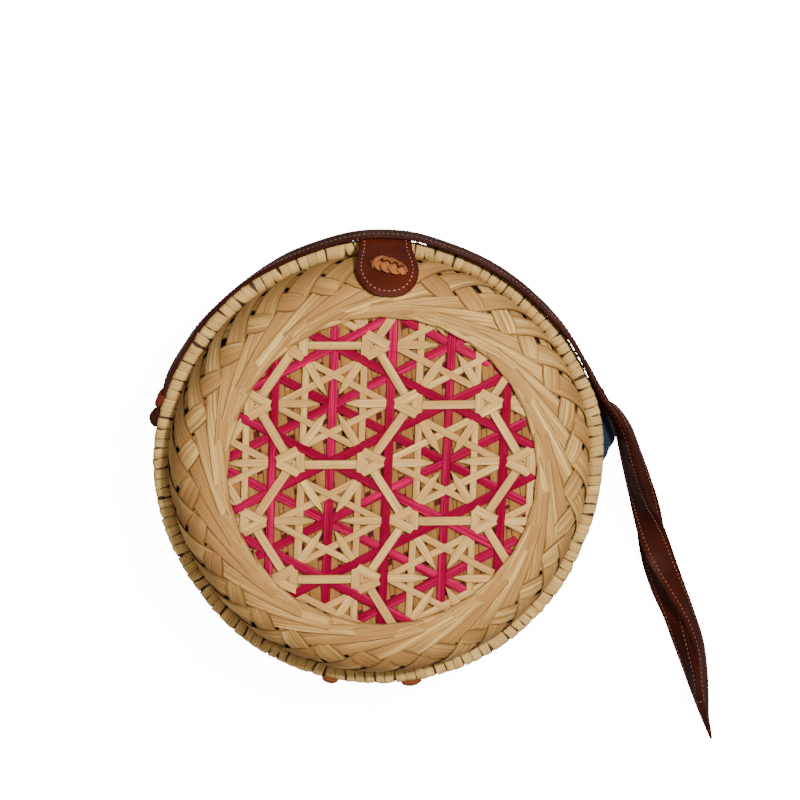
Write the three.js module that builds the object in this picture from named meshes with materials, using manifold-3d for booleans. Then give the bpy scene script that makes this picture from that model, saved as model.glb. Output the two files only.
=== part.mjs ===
// A round bamboo bag lying on its back: two woven bowls closed rim to rim, a star-weave
// medallion in each face, a leather closure tab with a toggle knot, and a leather strap.
// Millimetres, +Z up out of the front face, +Y towards the closure tab. The origin is the
// middle of the back face, on the surface that the bag lies on.
import * as THREE from "three";
import { mergeVertices } from "three/addons/utils/BufferGeometryUtils.js";
import Module from "manifold-3d";

const wasm = await Module();
wasm.setup();

// The bag's body
const BAG_ACROSS = 200;        // over the whipped rims
const BAG_DEPTH = 80;          // from back face to front face
const MEDALLION_ACROSS = 131;  // the opening in each woven ring
const FACE_LAND = 2.5;         // flat width of the ring beside that opening
const SHOULDER_SQUARENESS = 2.4;  // 2 is an ellipse, and more is squarer
const WALL = 2.4;              // two crossing layers of strips
const SEAM_GAP = 0.3;          // between the two closed halves
const FIT_GAP = 0.3;           // between pieces that touch
const RIM_WIDTH = 6.5;         // radial width of a whipped rim
const RIM_HEIGHT = 7.8;        // along the bag's depth
const RIM_ROUNDING = 2.2;      // rounding of a rim's outer corners
const ROUNDED_MIDDLE = 0.3;    // a rounded corner's middle, in from both sides, of its rounding
const MAT_THICKNESS = 1.6;     // backing behind the star weave
const MAT_OVERLAP = 1.8;       // of the backing behind the ring

// The star weave
const FLOWER_RISE = 50;        // from flower to flower up a column
const COLUMN_PITCH = 49.1;     // between columns of flowers
const COLUMN_LEAN = 2.1;       // sideways step of a column over one rise
const FRONT_FLOWER = { x: 26.9, y: 3.9 };  // one flower's centre on the front face
const STAR_STRIP = 4;          // width of a coloured strip
const STAR_STRIP_THICKNESS = 0.9;
const NATURAL_BAR = 3.8;       // width of a plain bar between two ties
const PETAL_WIDTH = 4.6;       // widest width of a petal
const PETAL_START = 6.2;       // its pointed tip, from the flower's centre
const PETAL_BELLY = 0.55;      // its widest place, as a share of the way from flower to tie
const STAR_HEM = 1.2;          // where the strips run under the ring

// The closure
const TAB_THICKNESS = 1.8;
const TAB_NECK = 21.5;         // width where it crosses the seam
const TAB_WIDTH = 27.5;        // widest width
const TAB_END = 74.3;          // distance of its round end from the bag's axis
const TAB_BACK_DROP = 9;       // how far it reaches down the back half, from the seam
const TAB_OFFSET = 2.2;        // sideways, towards +X
const TAB_OVER_CORNER = 0.6;   // how far it cuts over the rim's corner, of RIM_ROUNDING
const TAB_TOUCH = 0.36;        // where it meets the shoulder, of the way from bowl edge to end
const KNOT_LENGTH = 16.5;
const KNOT_ACROSS = 6;
const KNOT_LOBES = 3;
const KNOT_WAIST = 0.84;       // width between two lobes, as a share of KNOT_ACROSS
const KNOT_BLUNTNESS = 0.35;   // 1 has pointed ends, and less is blunter
const KNOT_TURN = -28;         // degrees, seen from the front
const KNOT_SEAT = 87.5;        // distance of the knot's middle from the bag's axis

// The hinge loops, opposite the tab
const LOOP_THICKNESS = 1.3;
const LOOP_HEIGHT = 15;

// The strap and its lugs
const STRAP_WIDTH = 13;
const STRAP_THICKNESS = 2.2;
const STRAP_LEFT_END = 163;    // degrees from +X, where it leaves the left lug
const STRAP_RIGHT_END = 16;    // degrees, where its upper run leaves the rim
const STRAP_RISE = 5.6;        // how far it has climbed there, over the right lug
const STRAP_RISE_FROM = 0.82;  // where the climb begins, as a share of the run round the rim
const STRAP_BULGE = 26;        // degrees to both sides of the tab where it stands off the rims
const STRAP_BULGE_FLAT = 1.35; // 1 is a plain swell, and more stays longer at its full height
const LOOP_REACH = 167;        // from that place down to the tip of the loop, along -Y
const LOOP_SPREAD = 60;        // and along +X
const LUG_THICKNESS = 3.6;
const LUG_HEIGHT = 11;
const LUG_LOOP_THICKNESS = 2.88;
const LUG_LOOP_HEIGHT = 7.333;

// The cloth gusset that shows at the seam
const GUSSET_THICKNESS = 1.0;
const GUSSET_POINT = 6;        // how far its fold stands out of the seam
const GUSSET_DROOP = 0.9;      // how far it hangs for each millimetre that it stands out

const SEAM = BAG_DEPTH / 2;
const RIM_RADIUS = BAG_ACROSS / 2;
const BOWL_RADIUS = RIM_RADIUS - RIM_WIDTH - FIT_GAP;
const OPENING_RADIUS = MEDALLION_ACROSS / 2;
const SHOULDER_START = OPENING_RADIUS + FACE_LAND;
const HALF_SEAM = SEAM_GAP / 2;
const OUTSIDE_RADIUS = RIM_RADIUS + FIT_GAP;
const BOWL_STEPS = 48;
const RIM_STEPS = 72;

const BAMBOO = { color: 0xc9a878, roughness: 0.62, metalness: 0 };
const WHIPPING = { color: 0xd2b98a, roughness: 0.6, metalness: 0 };
const MAT = { color: 0xb98a58, roughness: 0.7, metalness: 0 };
const MAGENTA = { color: 0xc2204f, roughness: 0.5, metalness: 0 };
const NATURAL = { color: 0xcaa27a, roughness: 0.55, metalness: 0 };
const TAB_LEATHER = { color: 0x6e3018, roughness: 0.45, metalness: 0 };
const KNOT_LEATHER = { color: 0xb0703c, roughness: 0.5, metalness: 0 };
const STRAP_LEATHER = { color: 0x54281c, roughness: 0.45, metalness: 0 };
const NAVY_CLOTH = { color: 0x1f2a40, roughness: 0.9, metalness: 0 };

const radians = THREE.MathUtils.degToRad;
const bag = new THREE.Group();

function add(name, geometry, finish) {
  const mesh = new THREE.Mesh(geometry, new THREE.MeshStandardMaterial(finish));
  mesh.name = name;
  bag.add(mesh);
}

// Only positions, shared between the triangles that meet, with faces pointing out
function closed(geometry) {
  const bare = geometry.clone();
  bare.deleteAttribute("normal");
  bare.deleteAttribute("uv");
  const merged = mergeVertices(bare, 1e-3);
  const index = Array.from(merged.index.array);
  const place = merged.attributes.position;
  const corners = [new THREE.Vector3(), new THREE.Vector3(), new THREE.Vector3()];
  const kept = [];
  let volume = 0;
  for (let i = 0; i < index.length; i += 3) {
    const [a, b, c] = index.slice(i, i + 3);
    if (a === b || b === c || c === a) continue;
    corners.forEach((corner, k) => corner.fromBufferAttribute(place, index[i + k]));
    volume += corners[0].dot(corners[1].clone().cross(corners[2])) / 6;
    kept.push(a, b, c);
  }
  if (volume < 0) kept.reverse();
  merged.setIndex(kept);
  return merged;
}

function solid(geometry) {
  const merged = closed(geometry);
  return new wasm.Manifold(new wasm.Mesh({
    numProp: 3,
    vertProperties: new Float32Array(merged.attributes.position.array),
    triVerts: new Uint32Array(merged.index.array),
  }));
}

function geometryOf(body) {
  const mesh = body.getMesh();
  const geometry = new THREE.BufferGeometry();
  geometry.setAttribute("position", new THREE.BufferAttribute(new Float32Array(mesh.vertProperties), 3));
  geometry.setIndex(new THREE.BufferAttribute(new Uint32Array(mesh.triVerts), 1));
  return geometry;
}

// A closed profile of [radius, height] points turned round the bag's axis
function turned(profile, steps) {
  const points = [...profile, profile[0]].map(([radius, height]) => new THREE.Vector2(radius, height));
  return new THREE.LatheGeometry(points, steps).rotateX(Math.PI / 2);
}

// The same shape on the back half: turned over about the X axis, about the seam plane
function onBack(geometry) {
  return geometry.clone().rotateX(Math.PI).translate(0, 0, BAG_DEPTH);
}

// A point of a bowl's outer face above the seam plane, [radius, height], and its outward normal:
// past the flat land it is a quarter of a superellipse
function shoulderAt(radius) {
  const width = BOWL_RADIUS - SHOULDER_START;
  const power = SHOULDER_SQUARENESS;
  const share = Math.max(0, (radius - SHOULDER_START) / width);
  const rise = (1 - share ** power) ** (1 / power);
  const normal = new THREE.Vector2(share ** (power - 1) / width, rise ** (power - 1) / SEAM);
  return { height: SEAM * rise, normal: normal.normalize() };
}

// Half of the bag's shell, open at the medallion and at the seam
function bowl() {
  const quarterSteps = 6;
  const outer = [];
  const inner = [];
  const outerWidth = BOWL_RADIUS - SHOULDER_START;
  for (let i = 0; i <= quarterSteps; i += 1) {
    const angle = Math.PI / 2 * i / quarterSteps;
    const across = Math.sin(angle) ** (2 / SHOULDER_SQUARENESS);
    const rise = Math.cos(angle) ** (2 / SHOULDER_SQUARENESS);
    outer.push([SHOULDER_START + outerWidth * across, SEAM + Math.max(HALF_SEAM, SEAM * rise)]);
    inner.push([SHOULDER_START + (outerWidth - WALL) * across,
      SEAM + Math.max(HALF_SEAM, (SEAM - WALL) * rise)]);
  }
  return turned([[OPENING_RADIUS, BAG_DEPTH], ...outer, ...inner.reverse(),
    [OPENING_RADIUS, BAG_DEPTH - WALL]], BOWL_STEPS);
}

// The whipped hoop round the edge of a half
function rim() {
  const low = SEAM + HALF_SEAM;
  const high = low + RIM_HEIGHT;
  const inside = RIM_RADIUS - RIM_WIDTH;
  const corner = RIM_ROUNDING * ROUNDED_MIDDLE;
  return turned([
    [inside, low], [RIM_RADIUS - RIM_ROUNDING, low], [RIM_RADIUS - corner, low + corner],
    [RIM_RADIUS, low + RIM_ROUNDING], [RIM_RADIUS, high - RIM_ROUNDING],
    [RIM_RADIUS - corner, high - corner], [RIM_RADIUS - RIM_ROUNDING, high], [inside, high],
  ], RIM_STEPS);
}

// The backing lies behind the ring's opening, inside the shell
const MAT_TOP = BAG_DEPTH - WALL - FIT_GAP;
function mat() {
  const geometry = new THREE.CylinderGeometry(OPENING_RADIUS + MAT_OVERLAP, OPENING_RADIUS + MAT_OVERLAP,
    MAT_THICKNESS, BOWL_STEPS);
  return closed(geometry.rotateX(Math.PI / 2).translate(0, 0, MAT_TOP - MAT_THICKNESS / 2));
}

// Steps of the star weave from flower to flower: up a column, and to the next column
const rise = new THREE.Vector2(COLUMN_LEAN, FLOWER_RISE);
const rightUp = new THREE.Vector2(COLUMN_PITCH, 0).addScaledVector(rise, 0.5);
const rightDown = rightUp.clone().sub(rise);
const WEAVE_RADIUS = OPENING_RADIUS - FIT_GAP;
const REACH_IN_STEPS = Math.ceil(2 * WEAVE_RADIUS / Math.min(FLOWER_RISE, COLUMN_PITCH));

function flowerCentres(first) {
  const centres = [];
  for (let i = -REACH_IN_STEPS; i <= REACH_IN_STEPS; i += 1) {
    for (let j = -REACH_IN_STEPS; j <= REACH_IN_STEPS; j += 1) {
      const centre = new THREE.Vector2(first.x, first.y)
        .addScaledVector(rightUp, i).addScaledVector(rise, j);
      if (centre.length() < WEAVE_RADIUS + FLOWER_RISE) centres.push(centre);
    }
  }
  return centres;
}

// A flat outline between two heights
function slab(outline, low, high) {
  const shape = new THREE.Shape(outline.map((point) => new THREE.Vector2(point.x, point.y)));
  return new THREE.ExtrudeGeometry(shape, { depth: high - low, bevelEnabled: false, steps: 1 })
    .translate(0, 0, low);
}

// A straight strip between two points in plan
function stripOutline(from, to, width) {
  const along = to.clone().sub(from).normalize();
  const aside = new THREE.Vector2(-along.y, along.x).multiplyScalar(width / 2);
  return [from.clone().add(aside), from.clone().sub(aside), to.clone().sub(aside), to.clone().add(aside)];
}

function weaveDisc(low, high) {
  return new THREE.CylinderGeometry(WEAVE_RADIUS, WEAVE_RADIUS, high - low, BOWL_STEPS)
    .rotateX(Math.PI / 2).translate(0, 0, (low + high) / 2);
}

function weaveHem(low, high) {
  return turned([[WEAVE_RADIUS - STAR_HEM, low], [WEAVE_RADIUS, low],
    [WEAVE_RADIUS, high], [WEAVE_RADIUS - STAR_HEM, high]], BOWL_STEPS);
}

// Strips joined with each other and a hem, and cut to the ring's opening
function wovenBody(strips, low, high) {
  let body = solid(weaveHem(low, high));
  for (const strip of strips) body = body.add(solid(strip));
  return geometryOf(body.intersect(solid(weaveDisc(low, high))));
}

const MAGENTA_LOW = MAT_TOP + FIT_GAP;
const MAGENTA_HIGH = MAGENTA_LOW + STAR_STRIP_THICKNESS;
const NATURAL_LOW = MAGENTA_HIGH + FIT_GAP;

// Coloured strips in three directions, through every flower and half-way between flowers
function magentaWeave(first) {
  const strips = [];
  const reach = 2 * WEAVE_RADIUS + FLOWER_RISE;
  for (const [along, across] of [[rise, rightUp], [rightUp, rise], [rightDown, rise]]) {
    const heading = along.clone().normalize();
    for (let k = -2 * REACH_IN_STEPS; k <= 2 * REACH_IN_STEPS; k += 1) {
      const middle = new THREE.Vector2(first.x, first.y).addScaledVector(across, k / 2);
      const offAxis = Math.abs(heading.cross(middle));
      if (offAxis > WEAVE_RADIUS - STAR_HEM) continue;
      const ends = [-reach, reach].map((length) => middle.clone().addScaledVector(heading, length));
      strips.push(slab(stripOutline(...ends, STAR_STRIP), MAGENTA_LOW, MAGENTA_HIGH));
    }
  }
  return wovenBody(strips, MAGENTA_LOW, MAGENTA_HIGH);
}

// Plain bars from tie to tie round each flower, and six pointed petals from its ties inwards
function naturalWeave(first) {
  const strips = [];
  const tieSteps = [
    rightUp.clone().add(rightDown), rightUp.clone().add(rise), rise.clone().sub(rightDown),
  ].map((step) => step.divideScalar(3));
  const ties = [...tieSteps, ...tieSteps.map((step) => step.clone().negate())];
  const barMargin = FLOWER_RISE / 4;
  const inReach = (point, margin) => point.length() < WEAVE_RADIUS + margin;
  for (const centre of flowerCentres(first)) {
    ties.forEach((tie, i) => {
      const tiePlace = centre.clone().add(tie);
      const nextPlace = centre.clone().add(ties[(i + 1) % ties.length]);
      const middle = tiePlace.clone().lerp(nextPlace, 0.5);
      if (i < 3 && inReach(middle, barMargin)) {
        strips.push(slab(stripOutline(tiePlace, nextPlace, NATURAL_BAR), NATURAL_LOW, BAG_DEPTH));
      }
      const heading = tie.clone().normalize();
      const aside = new THREE.Vector2(-heading.y, heading.x).multiplyScalar(PETAL_WIDTH / 2);
      const tip = centre.clone().addScaledVector(heading, PETAL_START);
      const belly = centre.clone().addScaledVector(tie, PETAL_BELLY);
      if (inReach(belly, 0)) {
        strips.push(slab([tip, belly.clone().sub(aside), tiePlace.clone().sub(aside),
          tiePlace.clone().add(aside), belly.clone().add(aside)], NATURAL_LOW, BAG_DEPTH));
      }
    });
  }
  return wovenBody(strips, NATURAL_LOW, BAG_DEPTH);
}

// A band of rectangular section through stations, each with its middle, the direction of its
// width and its facing, half its width, and its thickness. It has some parts across its width,
// and each corner may be moved by a last shaping.
function band(stations, parts = 1, shaped = (corner) => corner) {
  const places = [];
  const triangles = [];
  const round = [];
  for (let k = 0; k <= parts; k += 1) round.push([2 * k / parts - 1, -1]);
  for (let k = parts; k >= 0; k -= 1) round.push([2 * k / parts - 1, 1]);
  const count = round.length;
  stations.forEach(({ middle, width, facing, half, thickness }, i) => {
    for (const [w, t] of round) {
      const corner = shaped(middle.clone().addScaledVector(width, w * half)
        .addScaledVector(facing, t * thickness / 2));
      places.push(corner.x, corner.y, corner.z);
    }
    if (i === 0) return;
    for (let side = 0; side < count; side += 1) {
      const [a, b] = [count * (i - 1) + side, count * (i - 1) + (side + 1) % count];
      triangles.push(a, b, b + count, a, b + count, a + count);
    }
  });
  const last = count * (stations.length - 1);
  for (let k = 0; k < parts; k += 1) {
    const [low, high] = [k, count - 1 - k];
    triangles.push(low, high, low + 1, low + 1, high, high - 1);
    triangles.push(last + low, last + low + 1, last + high, last + low + 1, last + high - 1, last + high);
  }
  const geometry = new THREE.BufferGeometry();
  geometry.setAttribute("position", new THREE.Float32BufferAttribute(places, 3));
  geometry.setIndex(triangles);
  return closed(geometry);
}

// The tab's run in the plane of its middle: up the back rim, over the seam and the front rim,
// in a straight pull to the shoulder, and along the front face to its end
function tabRun() {
  const stand = FIT_GAP + TAB_THICKNESS / 2;
  const outside = RIM_RADIUS + stand;
  const rimTop = SEAM + HALF_SEAM + RIM_HEIGHT;
  const overCorner = TAB_OVER_CORNER * RIM_ROUNDING;
  const touch = THREE.MathUtils.lerp(BOWL_RADIUS, TAB_END, TAB_TOUCH);
  const points = [[outside, SEAM - TAB_BACK_DROP], [outside, SEAM], [outside, rimTop - RIM_ROUNDING],
    [outside - overCorner, rimTop + overCorner]];
  const faceSteps = 5;
  for (let i = 0; i <= faceSteps; i += 1) {
    const radius = THREE.MathUtils.lerp(touch, TAB_END, i / faceSteps);
    const { height, normal } = shoulderAt(radius);
    points.push([radius + stand * normal.x, SEAM + height + stand * normal.y]);
  }
  return new THREE.CatmullRomCurve3(points.map(([y, z]) => new THREE.Vector3(TAB_OFFSET, y, z)),
    false, "centripetal");
}

// Bends what is flat across X round the bag's axis, at the same distance from it
function roundTheAxis(corner) {
  return corner.setY(Math.sqrt(corner.y ** 2 - corner.x ** 2));
}

// The tab's half width along its run, as shares of its widest half width past the neck
const TAB_OUTLINE = [
  { along: 0.00, widening: 0.00, end: 1.00 },
  { along: 0.34, widening: 0.00, end: 1.00 },
  { along: 0.48, widening: 0.45, end: 1.00 },
  { along: 0.60, widening: 0.88, end: 1.00 },
  { along: 0.70, widening: 1.00, end: 1.00 },
  { along: 0.79, widening: 1.00, end: 0.93 },
  { along: 0.87, widening: 1.00, end: 0.78 },
  { along: 0.93, widening: 1.00, end: 0.60 },
  { along: 0.97, widening: 1.00, end: 0.42 },
  { along: 1.00, widening: 1.00, end: 0.20 },
];

function frameOn(run, along) {
  const heading = run.getTangentAt(along);
  const width = new THREE.Vector3(1, 0, 0);
  return { middle: run.getPointAt(along), width, facing: heading.clone().cross(width).normalize() };
}

// The outline's rows, with rows between those that lie far apart
const TAB_FAR_APART = 0.1;
const TAB_STEP = 0.07;
function tabRows() {
  const rows = [];
  TAB_OUTLINE.forEach((row, i) => {
    const next = TAB_OUTLINE[i + 1] ?? row;
    const gap = next.along - row.along;
    const parts = gap > TAB_FAR_APART ? Math.ceil(gap / TAB_STEP) : 1;
    for (let k = 0; k < parts; k += 1) {
      const between = (key) => THREE.MathUtils.lerp(row[key], next[key], k / parts);
      rows.push({ along: between("along"), widening: between("widening"), end: between("end") });
    }
  });
  return rows;
}

function closureTab() {
  const run = tabRun();
  const partsAcross = 4;
  return band(tabRows().map(({ along, widening, end }) => ({
    ...frameOn(run, along),
    half: THREE.MathUtils.lerp(TAB_NECK, TAB_WIDTH, widening) / 2 * end,
    thickness: TAB_THICKNESS,
  })), partsAcross, roundTheAxis);
}

// The knot is a lobed roll that lies on the tab, turned in the tab's surface
function toggleKnot() {
  const run = tabRun();
  const places = 400;
  let along = 1;
  while (run.getPointAt(along).y < KNOT_SEAT) along -= 1 / places;
  const { middle, facing } = frameOn(run, along);
  const steps = 18;
  const profile = [new THREE.Vector2(0, -KNOT_LENGTH / 2)];
  for (let i = 1; i < steps; i += 1) {
    const share = i / steps;
    const lobe = Math.abs(Math.sin(Math.PI * KNOT_LOBES * share));
    const swell = THREE.MathUtils.lerp(KNOT_WAIST, 1, lobe);
    const round = Math.sin(Math.PI * share) ** KNOT_BLUNTNESS;
    profile.push(new THREE.Vector2(KNOT_ACROSS / 2 * swell * round, KNOT_LENGTH * (share - 0.5)));
  }
  profile.push(new THREE.Vector2(0, KNOT_LENGTH / 2));
  const outward = facing.z < 0 ? facing.clone().negate() : facing;
  const sideways = new THREE.Vector3(1, 0, 0);
  const lying = new THREE.Matrix4().makeBasis(sideways.clone().cross(outward), sideways, outward);
  const turn = new THREE.Matrix4().makeRotationAxis(outward, radians(KNOT_TURN));
  const seat = middle.clone().addScaledVector(outward, TAB_THICKNESS / 2 + FIT_GAP + KNOT_ACROSS / 2);
  const sides = 10;
  return closed(new THREE.LatheGeometry(profile, sides)
    .applyMatrix4(lying).applyMatrix4(turn).translate(seat.x, seat.y, seat.z));
}

// A curved plate against the outside of the rims, between two angles and two heights
function rimPlate(fromAngle, toAngle, low, high, inside, thickness) {
  const degreesPerStep = 2.5;
  const steps = Math.max(2, Math.ceil((toAngle - fromAngle) / degreesPerStep));
  const outline = [];
  for (let i = 0; i <= steps; i += 1) {
    const angle = radians(THREE.MathUtils.lerp(fromAngle, toAngle, i / steps));
    outline.push([inside, angle]);
  }
  const outer = outline.map(([, angle]) => [inside + thickness, angle]).reverse();
  const ring = [...outline, ...outer].map(([radius, angle]) => new THREE.Vector2(
    radius * Math.cos(angle), radius * Math.sin(angle)));
  return slab(ring, low, high);
}

// Leather loops that hinge the halves: the middle of each, and its width, in degrees
const HINGE_LOOPS = [
  { name: "hinge_loop_left", middle: 257, width: 4.2 },
  { name: "hinge_loop_right", middle: 278, width: 5.2 },
];

function hingeLoop({ middle, width }) {
  return closed(rimPlate(middle - width / 2, middle + width / 2, SEAM - LOOP_HEIGHT / 2,
    SEAM + LOOP_HEIGHT / 2, OUTSIDE_RADIUS, LOOP_THICKNESS));
}

// A lug is a folded leather piece against the rims, with a thicker knob beside a lower loop.
// The left one takes the strap's end, and the right one lies below the strap's upper run and
// inside its other end. The knob's start and the widths are in degrees, and below is a share
// of LUG_HEIGHT.
const LUG_START = STRAP_LEFT_END + THREE.MathUtils.radToDeg(FIT_GAP / RIM_RADIUS);
const LUGS = [
  { name: "strap_lug_left", start: LUG_START, knob: 4.4, loop: 6.0, below: 0.00 },
  { name: "strap_lug_right", start: 10.2, knob: 3.6, loop: 3.8, below: 0.64 },
];

function strapLug({ start, knob, loop, below }) {
  const middle = SEAM - below * LUG_HEIGHT;
  const plate = (from, width, height, thickness) => solid(rimPlate(from, from + width,
    middle - height / 2, middle + height / 2, OUTSIDE_RADIUS, thickness));
  const knobBody = plate(start, knob, LUG_HEIGHT, LUG_THICKNESS);
  return geometryOf(knobBody.add(plate(start + knob, loop, LUG_LOOP_HEIGHT, LUG_LOOP_THICKNESS)));
}

// The strap's loop past the rim. Down and out are shares of LOOP_REACH and LOOP_SPREAD, lift is
// the height above its resting height as a share of the seam's height, roll is 0 on edge, 90 lying
// flat with the upper edge outwards and 180 on edge upside down, and rake carries the lower edge
// towards the tip, as a share of the strap's width.
const UPPER_RUN = [
  { down: 0.080, out: 0.085, lift: 0.98, roll: 5, rake: 0 },
  { down: 0.184, out: 0.205, lift: 0.80, roll: 14, rake: 0 },
  { down: 0.283, out: 0.325, lift: 0.50, roll: 24, rake: 0 },
  { down: 0.362, out: 0.430, lift: 0.28, roll: 52, rake: 0 },
  { down: 0.430, out: 0.520, lift: 0.19, roll: 82, rake: 0 },
  { down: 0.495, out: 0.605, lift: 0.13, roll: 108, rake: 0 },
  { down: 0.572, out: 0.720, lift: 0.09, roll: 132, rake: 0 },
  { down: 0.645, out: 0.810, lift: 0.04, roll: 147, rake: 0 },
  { down: 0.730, out: 0.880, lift: 0.01, roll: 154, rake: 0 },
  { down: 0.800, out: 0.912, lift: 0.00, roll: 162, rake: 0.1 },
  { down: 0.865, out: 0.930, lift: 0.00, roll: 172, rake: 0.3 },
  { down: 0.920, out: 0.944, lift: 0.00, roll: 178, rake: 0.6 },
];
const LOOP_TIP = [
  { down: 0.956, out: 0.950, lift: 0.00, roll: 180, rake: 0.9 },
  { down: 0.966, out: 0.938, lift: 0.00, roll: 180, rake: 1.0 },
  { down: 0.960, out: 0.915, lift: 0.00, roll: 180, rake: 0.9 },
];
const LOWER_RUN = [
  { down: 0.920, out: 0.885, lift: 0.00, roll: 182, rake: 0.6 },
  { down: 0.865, out: 0.862, lift: 0.00, roll: 188, rake: 0.3 },
  { down: 0.800, out: 0.812, lift: 0.00, roll: 198, rake: 0.1 },
  { down: 0.730, out: 0.750, lift: 0.00, roll: 208, rake: 0 },
  { down: 0.645, out: 0.655, lift: 0.00, roll: 220, rake: 0 },
  { down: 0.572, out: 0.560, lift: 0.00, roll: 243, rake: 0 },
  { down: 0.495, out: 0.510, lift: 0.00, roll: 262, rake: 0 },
  { down: 0.430, out: 0.500, lift: 0.00, roll: 275, rake: 0 },
  { down: 0.362, out: 0.490, lift: 0.02, roll: 290, rake: 0 },
  { down: 0.283, out: 0.445, lift: 0.13, roll: 312, rake: 0 },
  { down: 0.184, out: 0.345, lift: 0.36, roll: 328, rake: 0 },
  { down: 0.100, out: 0.235, lift: 0.55, roll: 340, rake: 0 },
  { down: 0.045, out: 0.140, lift: 0.63, roll: 352, rake: 0 },
  { down: 0.018, out: 0.082, lift: 0.65, roll: 360, rake: 0 },
];

// The strap's run round the rim: its middle rides on the rims and rises over the tab
function rimRadius(angle) {
  const onTab = TAB_THICKNESS + FIT_GAP;
  const tabAngle = 90 - THREE.MathUtils.radToDeg(TAB_OFFSET / RIM_RADIUS);
  const fromTab = Math.min(1, Math.abs(angle - tabAngle) / STRAP_BULGE);
  const swell = (1 + Math.cos(Math.PI * fromTab)) / 2;
  return OUTSIDE_RADIUS + STRAP_THICKNESS / 2 + onTab * Math.min(1, STRAP_BULGE_FLAT * swell);
}

function strapStops() {
  const stops = [];
  const arcSteps = 34;
  for (let i = 0; i <= arcSteps; i += 1) {
    const angle = THREE.MathUtils.lerp(STRAP_LEFT_END, STRAP_RIGHT_END, i / arcSteps);
    const radius = rimRadius(angle);
    const rising = Math.max(0, i / arcSteps - STRAP_RISE_FROM) / (1 - STRAP_RISE_FROM);
    stops.push({
      place: new THREE.Vector3(radius * Math.cos(radians(angle)), radius * Math.sin(radians(angle)),
        SEAM + STRAP_RISE * rising),
      roll: 0, rake: 0, layer: 1,
    });
  }
  const start = stops[stops.length - 1].place;
  const restingHeight = (roll) => STRAP_WIDTH / 2 * Math.abs(Math.cos(radians(roll)))
    + STRAP_THICKNESS / 2 * Math.abs(Math.sin(radians(roll)));
  const lay = (rows, layer) => rows.forEach(({ down, out, lift, roll, rake }) => stops.push({
    place: new THREE.Vector3(start.x + out * LOOP_SPREAD, start.y - down * LOOP_REACH,
      restingHeight(roll) + lift * SEAM),
    roll, rake, layer,
  }));
  lay(UPPER_RUN, 1);
  lay(LOOP_TIP, 0);
  lay(LOWER_RUN, -1);
  return stops;
}

function shoulderStrap() {
  const stops = strapStops();
  const up = new THREE.Vector3(0, 0, 1);
  const tipward = new THREE.Vector3(LOOP_SPREAD, -LOOP_REACH, 0).normalize();
  return band(stops.map(({ place, roll, rake, layer }, i) => {
    const before = stops[Math.max(0, i - 1)].place;
    const after = stops[Math.min(stops.length - 1, i + 1)].place;
    const heading = after.clone().sub(before).normalize();
    const aloft = up.clone().addScaledVector(heading, -up.dot(heading)).normalize();
    const outward = aloft.clone().cross(heading).multiplyScalar(layer || 1);
    const edgeward = aloft.clone().multiplyScalar(Math.cos(radians(roll)))
      .addScaledVector(outward, Math.sin(radians(roll)));
    const facing = heading.clone().cross(edgeward).normalize();
    const width = edgeward.clone().addScaledVector(tipward, rake / 2);
    return { middle: place, width, facing, half: STRAP_WIDTH / 2, thickness: STRAP_THICKNESS };
  }));
}

// The gusset's fold: shares along its stretch of seam, and of how far it stands out
const GUSSET_FROM = -1;
const GUSSET_TO = 10;
const GUSSET_FOLD = [
  { along: 0.00, stand: 0.05 },
  { along: 0.30, stand: 0.20 },
  { along: 0.52, stand: 0.62 },
  { along: 0.66, stand: 1.00 },
  { along: 0.82, stand: 0.42 },
  { along: 1.00, stand: 0.00 },
];

function sideGusset() {
  const root = RIM_RADIUS - RIM_ROUNDING * ROUNDED_MIDDLE;
  const at = (radius, share) => {
    const angle = radians(THREE.MathUtils.lerp(GUSSET_FROM, GUSSET_TO, share));
    return new THREE.Vector2(radius * Math.cos(angle), radius * Math.sin(angle));
  };
  const inner = GUSSET_FOLD.map(({ along }) => at(root, along));
  const outer = GUSSET_FOLD
    .map(({ along, stand }) => at(RIM_RADIUS + stand * GUSSET_POINT, along)).reverse();
  const cloth = closed(slab([...inner, ...outer],
    SEAM - GUSSET_THICKNESS / 2, SEAM + GUSSET_THICKNESS / 2));
  const place = cloth.attributes.position;
  for (let i = 0; i < place.count; i += 1) {
    const stand = Math.hypot(place.getX(i), place.getY(i)) - root;
    place.setZ(i, place.getZ(i) - GUSSET_DROOP * stand);
  }
  return cloth;
}

// On the back face a bar's middle lies on the bag's axis
const BACK_FLOWER = { x: -rightDown.x / 2, y: -rightDown.y / 2 };

const bowlShape = closed(bowl());
const rimShape = closed(rim());
add("front_bowl", bowlShape, BAMBOO);
add("back_bowl", closed(onBack(bowlShape)), BAMBOO);
add("front_rim", rimShape, WHIPPING);
add("back_rim", closed(onBack(rimShape)), WHIPPING);
add("front_mat", mat(), MAT);
add("back_mat", closed(onBack(mat())), MAT);
add("front_magenta_weave", magentaWeave(FRONT_FLOWER), MAGENTA);
add("back_magenta_weave", closed(onBack(magentaWeave(BACK_FLOWER))), MAGENTA);
add("front_natural_weave", naturalWeave(FRONT_FLOWER), NATURAL);
add("back_natural_weave", closed(onBack(naturalWeave(BACK_FLOWER))), NATURAL);
add("closure_tab", closureTab(), TAB_LEATHER);
add("toggle_knot", toggleKnot(), KNOT_LEATHER);
for (const loop of HINGE_LOOPS) add(loop.name, hingeLoop(loop), TAB_LEATHER);
for (const lug of LUGS) add(lug.name, strapLug(lug), STRAP_LEATHER);
add("shoulder_strap", shoulderStrap(), STRAP_LEATHER);
add("side_gusset", sideGusset(), NAVY_CLOTH);

export default bag;
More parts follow.
